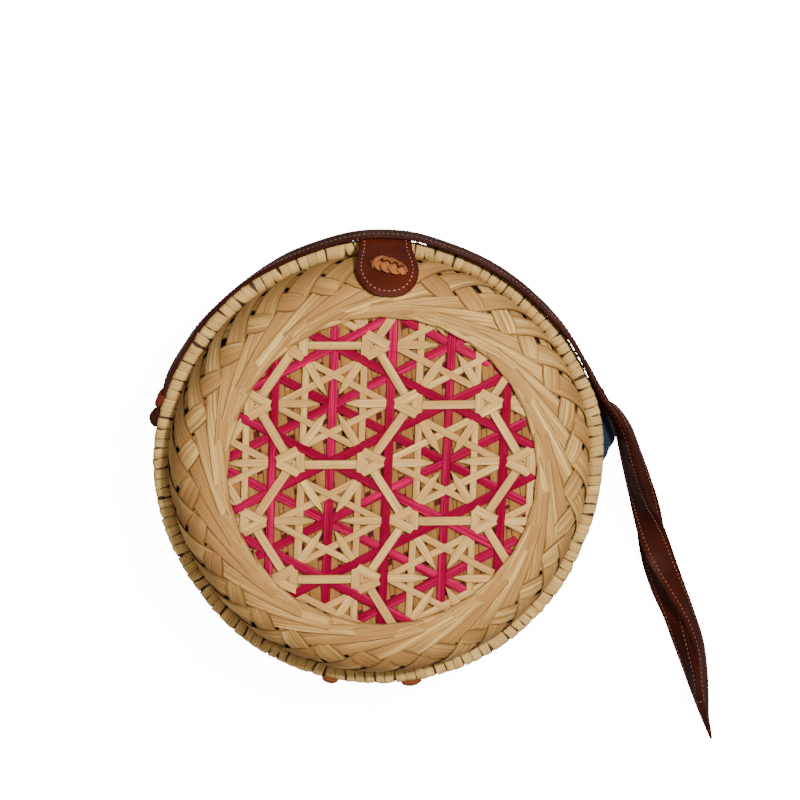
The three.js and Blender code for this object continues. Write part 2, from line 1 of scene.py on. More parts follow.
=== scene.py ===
"""A round bamboo bag lying on its back: two halves of plaited strips with whipped rims, a star
weave in each face, a leather tab with a plaited toggle, a stitched strap and a cloth gusset."""
import bpy
import numpy as np
from bpy.props import FloatProperty, FloatVectorProperty, IntProperty, PointerProperty
from mathutils import Matrix, Vector


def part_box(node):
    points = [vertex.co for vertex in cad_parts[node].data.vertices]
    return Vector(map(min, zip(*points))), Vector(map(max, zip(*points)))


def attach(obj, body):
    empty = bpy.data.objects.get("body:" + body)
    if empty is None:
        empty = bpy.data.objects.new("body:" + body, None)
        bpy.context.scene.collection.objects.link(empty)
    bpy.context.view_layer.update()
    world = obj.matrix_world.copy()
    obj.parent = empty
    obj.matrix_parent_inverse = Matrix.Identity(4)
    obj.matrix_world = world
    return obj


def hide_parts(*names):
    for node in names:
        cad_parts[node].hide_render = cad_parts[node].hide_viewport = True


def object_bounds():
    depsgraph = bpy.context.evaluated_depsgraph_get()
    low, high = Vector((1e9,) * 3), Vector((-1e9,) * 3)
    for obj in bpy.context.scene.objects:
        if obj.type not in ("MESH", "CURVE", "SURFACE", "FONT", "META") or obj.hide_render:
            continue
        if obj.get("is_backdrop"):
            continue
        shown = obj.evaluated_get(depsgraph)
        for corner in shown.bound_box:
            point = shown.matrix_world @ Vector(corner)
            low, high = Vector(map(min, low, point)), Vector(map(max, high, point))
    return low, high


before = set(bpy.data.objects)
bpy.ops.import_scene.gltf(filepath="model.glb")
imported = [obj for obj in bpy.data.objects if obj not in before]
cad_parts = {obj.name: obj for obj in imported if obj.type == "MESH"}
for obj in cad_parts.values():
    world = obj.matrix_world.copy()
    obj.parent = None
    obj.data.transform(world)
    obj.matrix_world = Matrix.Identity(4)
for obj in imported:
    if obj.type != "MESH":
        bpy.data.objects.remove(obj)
CAD_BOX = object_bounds()

bl_info = {
    "name": "Round Bamboo Bag",
    "version": (1, 0, 0),
    "blender": (4, 5, 0),
    "location": "3D View > Sidebar > Bamboo Bag",
    "description": "Builds a round plaited bamboo bag over its packed solids",
    "category": "Add Mesh",
}

MM = 0.001
UP = np.array([0.0, 0.0, 1.0])


def span(node, axis):
    """The lowest and highest place of a solid along one axis, in metres."""
    low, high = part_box(node)
    return low[axis], high[axis]


# The bag's main places, from its solids, in metres
SEAM = sum(span("front_rim", 2)[:1] + span("back_rim", 2)[1:]) / 2
DEPTH = span("front_bowl", 2)[1]
RIM_RADIUS = span("front_rim", 0)[1]
BOWL_RADIUS = span("front_bowl", 0)[1]
WEAVE_RADIUS = span("front_natural_weave", 1)[1]
MAT_TOP = span("front_mat", 2)[1]
OPENING_RADIUS = 65.5 * MM
SHOULDER_START = 68.0 * MM     # where the flat land round the opening ends
SHOULDER_POWER = 2.4
RIM_WIDTH = 6.5 * MM
RIM_HEIGHT = 7.8 * MM
RIM_ROUNDING = 2.2 * MM
# How far the rims are pressed in: degrees round the axis, and millimetres at the rims
FLAT = np.array([(-180, 0), (-165, 0.4), (-150, 1.1), (-138, 0.9), (-125, 0), (-60, 0), (-40, 0.8),
                 (-22, 1.8), (-8, 1.0), (12, 0), (30, 1.2), (48, 2.4), (100, 2.5), (118, 2.9), (132, 2.7),
                 (148, 2.4), (160, 1.7), (170, 0.5), (180, 0)])


def srgb(red, green, blue):
    """A colour from 0 to 255 as the shader's linear numbers."""
    share = np.array([red, green, blue]) / 255
    return tuple(np.where(share < 0.04, share / 12.92, ((share + 0.055) / 1.055) ** 2.4).tolist())


def length(name, millimetres, description):
    return FloatProperty(name=name, description=description, default=millimetres * MM,
                         min=0.0, subtype="DISTANCE", unit="LENGTH", precision=5)


def colour(name, red, green, blue, description):
    return FloatVectorProperty(name=name, description=description, subtype="COLOR", size=3,
                               min=0.0, max=1.0, default=srgb(red, green, blue))


class BagSizes(bpy.types.PropertyGroup):
    """Sizes of the bag's plaiting, leather and stitches"""
    ring_strips: IntProperty(name="Ring strips", default=32, min=12,
                             description="Strips that wind round each opening")
    ring_strip: length("Ring strip width", 6.6, "Width of a strip of the woven ring")
    ring_strip_thickness: length("Ring strip thickness", 0.42, "Thickness of such a strip")
    wraps: IntProperty(name="Wraps", default=136, min=20,
                       description="Turns of the whipping on each rim")
    wrap_thickness: length("Wrap thickness", 0.5, "Thickness of the whipping strip")
    magenta_strip: length("Magenta strip width", 3.9, "Width of a coloured star strip")
    natural_strip: length("Natural strip width", 2.95, "Width of a plain star strip")
    bar: length("Bar width", 3.7, "Width of a plain bar between two ties")
    petal: length("Petal width", 3.6, "Widest width of a petal")
    star_thickness: length("Star strip thickness", 0.34, "Thickness of a star strip")
    stitch: length("Stitch length", 1.15, "Length of one stitch")
    stitch_pitch: length("Stitch pitch", 2.15, "From one stitch to the next")


class BagColours(bpy.types.PropertyGroup):
    """Colours of the bag's materials"""
    bamboo: colour("Bamboo", 222, 181, 106, "Ring strips, pale")
    bamboo_deep: colour("Bamboo, deep", 156, 112, 60, "Ring strips, deep")
    whipping: colour("Whipping", 208, 174, 104, "Whipping of the rims, pale")
    whipping_deep: colour("Whipping, deep", 176, 138, 80, "Whipping of the rims, deep")
    magenta: colour("Magenta", 204, 0, 82, "Dyed strips, bright")
    magenta_deep: colour("Magenta, deep", 124, 0, 36, "Dyed strips, deep")
    natural: colour("Natural", 222, 182, 110, "Plain star strips, pale")
    natural_deep: colour("Natural, deep", 184, 138, 78, "Plain star strips, deep")
    backing: colour("Backing", 152, 104, 52, "Strips behind the star weave")
    backing_deep: colour("Backing, deep", 66, 22, 16, "Shadows of the backing")
    tab: colour("Tab leather", 72, 27, 15, "Closure tab and lugs")
    strap: colour("Strap leather", 50, 17, 9, "Strap")
    knot: colour("Knot leather", 143, 84, 45, "Plaited toggle")
    thread: colour("Thread", 140, 84, 58, "Stitches")
    cloth: colour("Cloth", 22, 31, 52, "Gusset")


class BambooBag(bpy.types.PropertyGroup):
    """What a user may change on the bag"""
    sizes: PointerProperty(type=BagSizes, name="Sizes", description="Sizes of the bag")
    colours: PointerProperty(type=BagColours, name="Colours", description="Colours of the bag")


# Surfaces

STRIP_SECTION = np.array([(-1, -0.5), (-1, 0.1), (-0.86, 0.38), (-0.35, 0.5), (0.35, 0.5),
                          (0.86, 0.38), (1, 0.1), (1, -0.5)])
BAND_SECTION = np.array([(-0.96, -0.5), (-1, -0.3), (-1, 0.3), (-0.96, 0.44), (-0.84, 0.5), (-0.4, 0.5),
                         (0, 0.5), (0.4, 0.5), (0.84, 0.5), (0.96, 0.44), (1, 0.3), (1, -0.3),
                         (0.96, -0.5), (0.4, -0.5), (-0.4, -0.5)])
WRAP_SECTION = np.array([(-1, -0.5), (-1, 0.0), (-0.88, 0.3), (-0.5, 0.5), (0.1, 0.56), (0.55, 0.48),
                         (0.9, 0.24), (1, -0.05), (1, -0.5)])
CROWN_SECTION = np.array([(-1, -0.5), (-1, -0.3), (-0.85, 0.25), (-0.5, 0.85), (0, 1.1), (0.5, 0.85),
                          (0.85, 0.25), (1, -0.3), (1, -0.5)])
THREAD_SECTION = np.array([(np.cos(a), np.sin(a)) for a in -np.arange(6) * np.pi / 3]) * (1, 0.5)


def wide_section(parts):
    """A rounded flat section whose top and underside have some parts, for bands that bend across."""
    top = np.linspace(-0.94, 0.94, parts + 1)
    edge = [(1, 0.28), (1, -0.28)]
    return np.array([(-1, -0.28), (-1, 0.28), *((s, 0.5) for s in top), *edge,
                     *((s, -0.5) for s in top[::-1])])


def unit(vectors):
    return vectors / np.linalg.norm(vectors, axis=-1, keepdims=True)


def polar(radius, angle, height):
    """Points about the bag's axis: (r cos a, r sin a, h)."""
    return np.stack(np.broadcast_arrays(radius * np.cos(angle), radius * np.sin(angle), height), -1)


def looked_up(wanted, places, columns):
    """A table's columns at wanted places, by straight interpolation."""
    return np.stack([np.interp(wanted, places, column) for column in columns.T], -1)


def headings(middles):
    """Unit directions along paths, by central differences."""
    return unit(np.gradient(middles, axis=-2))


def smooth_step(low, high, value):
    """0 below low, 1 above high, and 3t^2 - 2t^3 between them."""
    share = np.clip((np.asarray(value) - low) / (high - low), 0, 1)
    return share * share * (3 - 2 * share)


def between(places, wanted, values):
    """Values at the wanted places, with a smooth step from each row to the next."""
    places, values = np.asarray(places, float), np.asarray(values, float)
    row = np.clip(np.searchsorted(places, wanted, side="right") - 1, 0, len(places) - 2)
    share = smooth_step(0, 1, (wanted - places[row]) / (places[row + 1] - places[row]))
    return values[row] * (1 - share) + values[row + 1] * share


def smooth_path(points, count):
    """A centripetal Catmull-Rom curve through points, at evenly spaced lengths."""
    points = np.asarray(points, float)
    full = np.vstack([2 * points[0] - points[1], points, 2 * points[-1] - points[-2]])
    knots = np.concatenate([[0], np.cumsum(np.sqrt(np.linalg.norm(np.diff(full[:, :3], axis=0), axis=1)))])
    wanted = np.linspace(knots[1], knots[-2], 40 * len(points))
    row = np.clip(np.searchsorted(knots, wanted, side="right") - 1, 1, len(full) - 3)
    k = [knots[row + i][:, None] for i in (-1, 0, 1, 2)]
    p = [full[row + i] for i in (-1, 0, 1, 2)]
    t = wanted[:, None]
    mix = lambda a, b, ka, kb: (a * (kb - t) + b * (t - ka)) / (kb - ka)
    first = [mix(p[i], p[i + 1], k[i], k[i + 1]) for i in range(3)]
    second = [mix(first[i], first[i + 1], k[i], k[i + 2]) for i in range(2)]
    curve = mix(second[0], second[1], k[1], k[2])
    return resampled(curve, np.linspace(0, 1, count))


def run_length(path):
    """The length along a path at each of its points."""
    steps = np.linalg.norm(np.diff(path[..., :3], axis=-2), axis=-1)
    return np.concatenate([np.zeros(steps.shape[:-1] + (1,)), np.cumsum(steps, axis=-1)], axis=-1)


def resampled(path, shares):
    """A path's columns at shares of its length, by straight interpolation."""
    along = run_length(path)
    return looked_up(np.asarray(shares) * along[-1], along, path)


def tube_faces(index):
    """Quads between neighbouring rings, from a grid of point numbers whose last axis goes round."""
    near, far = index[..., :-1, :], index[..., 1:, :]
    return np.stack([near, far, np.roll(far, -1, -1), np.roll(near, -1, -1)], -1).reshape(-1, 4)


def swept(middles, up, half, thick, section=STRIP_SECTION, seeds=None, shaped=None):
    """Carries a section along paths. Its corner (s, t) goes to middle + s * half * across
    + t * thick * up, where across is up x heading. Gives points, faces and strip marks, which are
    the length along, s, and a seed for each path."""
    middles = np.asarray(middles, float)
    middles = middles[None] if middles.ndim == 2 else middles
    count, stops = middles.shape[:2]
    up = np.broadcast_to(up, middles.shape)
    heading = headings(middles)
    up = unit(up - heading * np.sum(up * heading, axis=-1, keepdims=True))
    across = np.cross(up, heading)
    half, thick = (np.broadcast_to(size, (count, stops))[..., None, None] for size in (half, thick))
    s, t = section.T
    points = (middles[:, :, None] + across[:, :, None] * half * s[:, None]
              + up[:, :, None] * thick * t[:, None])
    seeds = np.zeros(count) if seeds is None else seeds
    shape = points.shape[:3]
    marks = np.stack([np.broadcast_to(run_length(middles)[..., None], shape),
                      np.broadcast_to(s, shape), np.broadcast_to(seeds[:, None, None], shape)], -1)
    index = np.arange(np.prod(shape)).reshape(shape)
    caps = np.concatenate([index[:, 0], index[:, -1, ::-1]])
    points = points.reshape(-1, 3)
    return (points if shaped is None else shaped(points)), [tube_faces(index), caps], marks.reshape(-1, 3)


def joined(*surfaces):
    """Several surfaces as one: their points, faces and marks, one after the other."""
    points, faces, marks, base = [], [], [], 0
    for place, groups, mark in surfaces:
        points.append(place)
        marks.append(mark)
        faces.extend(group + base for group in groups)
        base += len(place)
    return np.concatenate(points), faces, np.concatenate(marks)


def turned(profile, steps, closed=True):
    """A profile of (radius, height) turned round the bag's axis."""
    profile = np.asarray(profile, float)
    angle = np.arange(steps) * 2 * np.pi / steps
    radius, height = profile.T[:, None]
    points = polar(radius, angle[:, None], height)
    index = np.arange(points.size // 3).reshape(points.shape[:2])
    near, far = index, np.roll(index, -1, 0)
    if closed:
        near, far = np.hstack([near, near[:, :1]]), np.hstack([far, far[:, :1]])
    quads = np.stack([near[:, :-1], near[:, 1:], far[:, 1:], far[:, :-1]], -1).reshape(-1, 4)
    marks = np.stack([np.broadcast_to(angle[:, None] * RIM_RADIUS, index.shape),
                      np.broadcast_to(np.linspace(-1, 1, len(profile)), index.shape),
                      np.zeros(index.shape)], -1)
    return points.reshape(-1, 3), [quads], marks.reshape(-1, 3)


def cushion(centre, axes, sizes, power=0.6, steps=20):
    """A superellipsoid: each axis times its half size times sines and cosines raised to a power."""
    rise = np.linspace(-np.pi / 2, np.pi / 2, steps // 2 + 1)[1:-1, None]
    turn = (np.arange(steps) * 2 * np.pi / steps)[None]
    bent = lambda value: np.sign(value) * np.abs(value) ** power
    local = np.stack([bent(np.cos(rise)) * bent(np.cos(turn)), bent(np.cos(rise)) * bent(np.sin(turn)),
                      bent(np.sin(rise)) * np.ones_like(turn)], -1).reshape(-1, 3)
    local = np.vstack([local, (0, 0, -1), (0, 0, 1)])
    rows = steps // 2 - 1
    index = np.arange(rows * steps).reshape(rows, steps)
    near, far = index[:-1], index[1:]
    quads = np.stack([near, np.roll(near, -1, 1), np.roll(far, -1, 1), far], -1).reshape(-1, 4)
    low, high = rows * steps, rows * steps + 1
    fans = np.concatenate([
        np.stack([np.full(steps, low), np.roll(index[0], -1), index[0]], -1),
        np.stack([np.full(steps, high), index[-1], np.roll(index[-1], -1)], -1)])
    points = np.asarray(centre) + (local * sizes) @ np.asarray(axes, float)
    return points, [quads, fans], local


def signed_volume(points, faces):
    """The volume inside closed faces: the sum of corner products of their fan triangles, over 6."""
    total = 0.0
    for group in faces:
        for k in range(1, group.shape[1] - 1):
            a, b, c = points[group[:, 0]], points[group[:, k]], points[group[:, k + 1]]
            total += np.einsum("ij,ij->", a, np.cross(b, c)) / 6
    return total


def turned_over(surface):
    """The same surface on the back half: (x, -y, depth - z), a half turn about the X axis."""
    points, faces, marks = surface
    return points * (1, -1, -1) + (0, 0, DEPTH), faces, marks


def flattened(points):
    """The bag is not quite round: points move to the axis by FLAT at their angle, times how far
    out they are."""
    radius = np.hypot(points[:, 0], points[:, 1])
    degrees = np.degrees(np.arctan2(points[:, 1], points[:, 0]))
    amount = between(FLAT[:, 0], degrees, FLAT[:, 1]) * MM * smooth_step(68 * MM, 108 * MM, radius)
    scale = 1 - amount / np.maximum(radius, MM)
    return points * np.stack([scale, scale, np.ones(len(points))], -1)


def make_piece(name, surface, finish, nodes=(), crease=35):
    """Puts a surface into a mesh object at the origin, with its faces pointing outwards, its
    strip marks as an attribute, and sharp edges where faces turn by more than crease degrees."""
    points, faces, marks = surface
    points = flattened(points)
    if signed_volume(points, faces) < 0:
        faces = [group[:, ::-1] for group in faces]
    corners = np.concatenate([group.ravel() for group in faces])
    sizes = np.concatenate([np.full(len(group), group.shape[1]) for group in faces])
    mesh = bpy.data.meshes.new(name)
    mesh.vertices.add(len(points))
    mesh.vertices.foreach_set("co", np.ascontiguousarray(points, np.float32).ravel())
    mesh.loops.add(len(corners))
    mesh.loops.foreach_set("vertex_index", corners.astype(np.int32))
    mesh.polygons.add(len(sizes))
    mesh.polygons.foreach_set("loop_start", np.concatenate([[0], np.cumsum(sizes)[:-1]]).astype(np.int32))
    mesh.attributes.new("strip", "FLOAT_VECTOR", "POINT").data.foreach_set(
        "vector", np.ascontiguousarray(marks, np.float32).ravel())
    mesh.update(calc_edges=True)
    mesh.validate()
    mesh.shade_smooth()
    mesh.set_sharp_from_angle(angle=np.radians(crease))
    mesh.materials.append(finish)
    piece = bpy.data.objects.new(name, mesh)
    bpy.context.scene.collection.objects.link(piece)
    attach(piece, "root")
    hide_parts(*nodes)
    return piece


# Materials

class Finish:
    """A node material on a Principled shader, with short calls that add and join its nodes."""

    def __init__(self, name, roughness, specular=0.5):
        self.material = bpy.data.materials.new(name)
        self.material.use_nodes = True
        self.tree = self.material.node_tree
        self.shader = self.tree.nodes["Principled BSDF"]
        self.shader.inputs["Roughness"].default_value = roughness
        self.shader.inputs["Specular IOR Level"].default_value = specular

    def add(self, kind, inputs, **settings):
        node = self.tree.nodes.new(kind)
        for key, value in settings.items():
            setattr(node, key, value)
        for key, value in inputs.items():
            if isinstance(value, bpy.types.NodeSocket):
                self.tree.links.new(value, node.inputs[key])
            else:
                node.inputs[key].default_value = value
        return node

    def mark(self):
        return self.add("ShaderNodeAttribute", {}, attribute_name="strip").outputs["Vector"]

    def place(self):
        return self.add("ShaderNodeTexCoord", {}).outputs["Object"]

    def times(self, vector, factors):
        return self.add("ShaderNodeVectorMath", {0: vector, 1: factors}, operation="MULTIPLY").outputs[0]

    def part(self, vector, axis):
        return self.add("ShaderNodeSeparateXYZ", {0: vector}).outputs[axis]

    def maths(self, operation, *values):
        return self.add("ShaderNodeMath", dict(enumerate(values)), operation=operation).outputs[0]

    def noise(self, vector, scale=1.0, detail=4.0, roughness=0.55):
        return self.add("ShaderNodeTexNoise", {"Vector": vector, "Scale": scale, "Detail": detail,
                                               "Roughness": roughness}).outputs["Fac"]

    def spread(self, value, low, high, to_low=0.0, to_high=1.0):
        return self.add("ShaderNodeMapRange", {"Value": value, "From Min": low, "From Max": high,
                                               "To Min": to_low, "To Max": to_high}).outputs[0]

    def mixed(self, factor, first, second):
        inputs = {0: factor, 6: first if isinstance(first, bpy.types.NodeSocket) else (*first, 1),
                  7: second if isinstance(second, bpy.types.NodeSocket) else (*second, 1)}
        return self.add("ShaderNodeMix", inputs, data_type="RGBA").outputs[2]

    def done(self, base, height=None, depth=0.0001, roughness=None):
        self.tree.links.new(base, self.shader.inputs["Base Color"])
        if height is not None:
            bump = self.add("ShaderNodeBump", {"Height": height, "Distance": depth, "Strength": 1.0})
            self.tree.links.new(bump.outputs[0], self.shader.inputs["Normal"])
        if roughness is not None:
            self.tree.links.new(roughness, self.shader.inputs["Roughness"])
        return self.material


def darker(value, share):
    return tuple(part * share for part in value)


def bamboo_finish(name, pale, deep, roughness=0.5, fibre=1.0, edge=0.55, line=None):
    """Split bamboo: fibre streaks along each strip, its own tone by its seed, and dark edges, which are
    partly the strips' own cut edges and partly painted shade where strips lie over and beside each other.
    """
    finish = Finish(name, roughness, 0.05)
    mark = finish.mark()
    streaks = finish.noise(finish.times(mark, (26.0, 3.2 * fibre, 71.0)), 1.0, 5.0)
    threads = finish.noise(finish.times(mark, (34.0, 15.0 * fibre, 43.0)), 1.0, 3.0)
    tone = finish.noise(finish.times(mark, (9.0, 0.3, 913.0)), 1.0, 1.0)
    base = finish.mixed(finish.spread(streaks, 0.34, 0.62), pale, deep)
    base = finish.mixed(finish.spread(tone, 0.4, 0.58, 0.0, 1.0), base, deep)
    base = finish.mixed(finish.spread(threads, 0.5, 0.64, 0.0, 0.8 * fibre), base, darker(deep, 0.5))
    spots = finish.noise(finish.place(), 700.0, 2.0)
    base = finish.mixed(finish.spread(spots, 0.68, 0.78, 0.0, 0.35), base, darker(deep, 0.5))
    # Edges darken towards line: partly the strip's own edge, partly painted shade beside and under
    # neighbouring strips
    side = finish.maths("ABSOLUTE", finish.part(mark, 1))
    base = finish.mixed(finish.spread(side, 0.8, 0.97, 0.0, edge), base, line or darker(deep, 0.4))
    return finish.done(base, finish.maths("ADD", threads, streaks), 0.00022 * fibre,
                       finish.spread(streaks, 0.3, 0.7, roughness - 0.08, roughness + 0.12))


def leather_finish(name, base_colour, roughness=0.42, edge=0.45):
    """Dyed leather: cloudy colour, fine grain, creases, and a burnished edge by its strip marks."""
    finish = Finish(name, roughness, 0.04)
    place = finish.place()
    clouds = finish.noise(place, 55.0, 4.0)
    grain = finish.noise(place, 1500.0, 3.0)
    creases = finish.noise(finish.times(place, (1.0, 1.0, 0.5)), 260.0, 4.0, 0.7)
    base = finish.mixed(finish.spread(clouds, 0.3, 0.7), darker(base_colour, 1.22),
                        darker(base_colour, 0.72))
    base = finish.mixed(finish.spread(creases, 0.5, 0.72, 0.0, 0.5), base, darker(base_colour, 0.5))
    side = finish.maths("ABSOLUTE", finish.part(finish.mark(), 1))
    base = finish.mixed(finish.spread(side, 0.9, 0.98, 0.0, edge), base, darker(base_colour, 0.32))
    height = finish.maths("ADD", grain, finish.maths("MULTIPLY", creases, 1.6))
    return finish.done(base, height, 0.00016,
                       finish.spread(clouds, 0.3, 0.7, roughness - 0.08, roughness + 0.1))


def plain_finish(name, pale, deep, scale, roughness=0.8, depth=0.0002):
    """Cloudy colour and a fine uneven surface, for thread, lining and floor."""
    finish = Finish(name, roughness, 0.3)
    clouds = finish.noise(finish.place(), scale, 4.0)
    fine = finish.noise(finish.place(), scale * 9, 3.0)
    return finish.done(finish.mixed(finish.spread(clouds, 0.35, 0.65), pale, deep), fine, depth)


def cloth_finish(name, base_colour):
    """Woven cloth: warp and weft as two crossed waves on its object coordinates, with a soft sheen."""
    finish = Finish(name, 0.9, 0.08)
    finish.shader.inputs["Sheen Weight"].default_value = 0.06
    place = finish.place()
    waves = [finish.maths("SINE", finish.maths("MULTIPLY", finish.part(place, axis), 9000.0))
             for axis in (0, 1)]
    weave = finish.maths("MULTIPLY", *waves)
    base = finish.mixed(finish.spread(weave, -1.0, 1.0), darker(base_colour, 0.6), darker(base_colour, 1.5))
    clouds = finish.noise(place, 120.0, 3.0)
    base = finish.mixed(finish.spread(clouds, 0.35, 0.7, 0.0, 0.5), base, darker(base_colour, 0.7))
    return finish.done(base, weave, 0.0001)


# The woven rings

def shoulder(share):
    """The bowl's outer profile and its normal, at shares of a quarter turn a: the radius is
    start + width * sin(a)^(2/p), and the height above the seam is depth/2 * cos(a)^(2/p)."""
    angle = np.asarray(share) * np.pi / 2
    width, rise = BOWL_RADIUS - SHOULDER_START, DEPTH - SEAM
    across, up = np.sin(angle) ** (2 / SHOULDER_POWER), np.cos(angle) ** (2 / SHOULDER_POWER)
    normal = unit(np.stack([across ** (SHOULDER_POWER - 1) / width, up ** (SHOULDER_POWER - 1) / rise], -1))
    return SHOULDER_START + width * across, rise * up, normal


# The height of a ring strip's middle against the ring's outer face, in millimetres, at each
# crossing outwards from where it touches the opening: as the upper half and as the lower half
RING_CROSSINGS = np.arange(10)
RING_UPPER = np.array([-0.95, -0.78, -0.66, -0.62, -0.60, -0.50, -1.00, -0.20, -0.10, -0.10]) * MM
RING_LOWER = np.array([-0.95, -1.15, -1.45, -1.50, -1.40, -1.10, -0.30, -0.85, -0.75, -0.75]) * MM
RING_TILT = 0.36 * MM          # how far an inner edge stands up where strips shingle
RING_SPREAD = 0.62             # how much wider strips are near the rim, where they lie steep
RING_STEER = 0.42              # how much straighter they run out there
# The crossings where the edges lie down, where strips widen, and where and how gently they turn
RING_TILT_FADE, RING_WIDENING, RING_TURN, RING_TURN_SOFTNESS = (3.4, 5.2), (5.2, 6.2), 6.3, 0.3


def ring_run(start, count=3000):
    """The path of a strip that touches the circle of radius start and runs straight over the
    shoulder. Its length grows by dm * r / u and its angle by start / r^2 for each length, where
    u^2 = r^2 - start^2 and m is the length down the profile. Columns: length, radius, height,
    angle, and the normal's two parts."""
    share = np.linspace(0, 1, count) ** 0.9 * 0.995
    radius, height, normal = shoulder(share)
    outside = radius > start
    radius, height, normal = radius[outside], height[outside], normal[outside]
    run = np.sqrt(radius ** 2 - start ** 2)
    steps = np.hypot(np.diff(radius), np.diff(height)) * np.diff(run) / np.maximum(np.diff(radius), 1e-9)
    middle = (radius[1:] + radius[:-1]) / 2
    along = np.concatenate([[0], np.cumsum(steps)])
    angle = np.concatenate([[0], np.cumsum(steps * start / middle ** 2)])
    return np.stack([along, radius, height, angle, *normal.T], -1)


def ring_weave(sizes, seed):
    """Strips wound round the opening. Each touches a circle just outside it, and runs from there
    to the rim both ways: one way above its crossings with the others' halves, then below, then
    above. The place is the shoulder's at that length, lifted along the normal."""
    random = np.random.default_rng(seed)
    count = sizes.ring_strips
    half = sizes.ring_strip / 2
    table = ring_run(OPENING_RADIUS - 0.2 * MM + half)
    stops = 83
    side = np.linspace(-1, 1, stops)
    along = np.abs(side) * table[-1, 0]
    radius, height, angle, outward, rise = looked_up(along, table[:, 0], table[:, 1:]).T
    crossing = angle / (np.pi / count)
    past_turn = np.log1p(np.exp((crossing - RING_TURN) / RING_TURN_SOFTNESS))
    crossing = crossing - RING_STEER * RING_TURN_SOFTNESS * past_turn
    angle = crossing * np.pi / count
    lift = np.where(side > 0, between(RING_CROSSINGS, crossing, RING_UPPER),
                    between(RING_CROSSINGS, crossing, RING_LOWER))
    angle = angle * np.sign(side)
    first = (np.arange(count) + 0.5) * 2 * np.pi / count + random.normal(0, 0.006, count)
    place = first[:, None] - angle[None] + random.normal(0, 0.003, (count, 1)) * np.abs(side)
    up, middles = polar(outward, place, rise), polar(radius, place, SEAM + height)
    wander = random.normal(0, 0.05 * MM, (count, 1)) + lift[None]
    middles = middles + up * wander[..., None]
    width = half * (1 + random.normal(0, 0.035, (count, 1)))
    width = width * (1 + RING_SPREAD * smooth_step(*RING_WIDENING, crossing))[None]
    tilt = RING_TILT * (1 - smooth_step(*RING_TILT_FADE, crossing)) * np.where(side > 0, 1, -0.6)
    section_up = up + np.cross(headings(middles), up) * (tilt / half)[None, :, None]
    return swept(middles, section_up, width, sizes.ring_strip_thickness, seeds=random.random(count))


def lining():
    """A dark inner shell, the shoulder moved in along its normal, that closes the ring's gaps. Its dark
    colour is painted shade of the bag's inside seen through them.
    """
    inset, wall = 2.0 * MM, 0.4 * MM
    radius, height, normal = shoulder(np.linspace(0, 0.97, 14))
    shells = [np.stack([radius, SEAM + height], -1) - normal * depth for depth in (inset, inset + wall)]
    lip = [(OPENING_RADIUS + 0.4 * MM, DEPTH - depth) for depth in (inset, inset + wall)]
    seat = [(RIM_RADIUS - RIM_WIDTH + 1.2 * MM, SEAM + lift * MM) for lift in (3.2, 2.4)]
    return turned(np.vstack([lip[0], shells[0], seat, shells[1][::-1], lip[1]]), 96)


# The whipped rims

def rim_section(inset):
    """A rim's section from under its inner edge, over its top, to under its outer edge."""
    low, high = SEAM + 0.15 * MM, SEAM + 0.15 * MM + RIM_HEIGHT
    inside, outside = RIM_RADIUS - RIM_WIDTH, RIM_RADIUS
    corner = np.radians(np.linspace(0, 90, 5))[:, None]
    curl = np.hstack([np.cos(corner), np.sin(corner)]) * RIM_ROUNDING
    inner = (inside + RIM_ROUNDING, high - RIM_ROUNDING) + curl[::-1] * (-1, 1)
    outer = (outside - RIM_ROUNDING, high - RIM_ROUNDING) + curl[::-1]
    under = (outside - RIM_ROUNDING, low + RIM_ROUNDING) + curl * (1, -1)
    lip = [(inside - 1.9 * MM, high - 3.4 * MM), (inside - 0.7 * MM, high - 1.9 * MM)]
    points = np.vstack([lip, inner[::-1][2:], outer, under])
    centre = np.array([(inside + outside) / 2, (low + high) / 2])
    return centre + (points - centre) * (1 - inset / (RIM_WIDTH / 2))


def whipping(sizes, seed):
    """Turns of a flat strip round the hoop: each follows the rim's section at its own angle, with
    its own width and slant, and stands off the hoop a little more or less than the next."""
    random = np.random.default_rng(seed)
    count = sizes.wraps
    section = resampled(rim_section(sizes.wrap_thickness * 0.5), np.linspace(0, 1, 18))
    share = np.linspace(-0.5, 0.5, len(section))
    pitch = 2 * np.pi / count
    angle = (np.arange(count) + random.normal(0, 0.05, count)) * pitch
    slant = random.normal(0.25, 0.22, (count, 1)) * pitch
    bow = random.normal(0, 0.08, (count, 1)) * pitch
    angle = angle[:, None] + slant * share + bow * np.cos(2 * np.pi * share)
    stand = random.normal(0, 0.06 * MM, (count, 1))
    radius = section[:, 0] + stand
    middles = polar(radius, angle, section[:, 1] + stand * np.sign(section[:, 1] - SEAM))
    middle = np.array([RIM_RADIUS - RIM_WIDTH / 2, SEAM + RIM_HEIGHT / 2])
    out = unit(section - middle)
    up = polar(out[:, 0], angle, out[:, 1])
    slit = np.clip(random.normal(0.06, 0.12, (count, 1)), 0, 0.3)
    place = random.normal(-0.08, 0.05, (count, 1))
    fill = 1.02 - slit * np.exp(-((share - place) / 0.13) ** 2)
    fill = fill - 0.3 * smooth_step(0.22, 0.45, -share) * random.random((count, 1))
    half = pitch / 2 * fill * radius
    up = up + np.stack([-np.sin(angle), np.cos(angle), np.zeros(angle.shape)], -1) * random.normal(
        0, 0.07, (count, 1, 1))
    return swept(middles, up, half, sizes.wrap_thickness, WRAP_SECTION, random.random(count))


def hoop():
    """The dark hoop under the whipping: the rim's section, a little smaller, turned round. Its dark colour is
    painted shade in the slits between the wraps.
    """
    return turned(rim_section(0.75 * MM), 144)


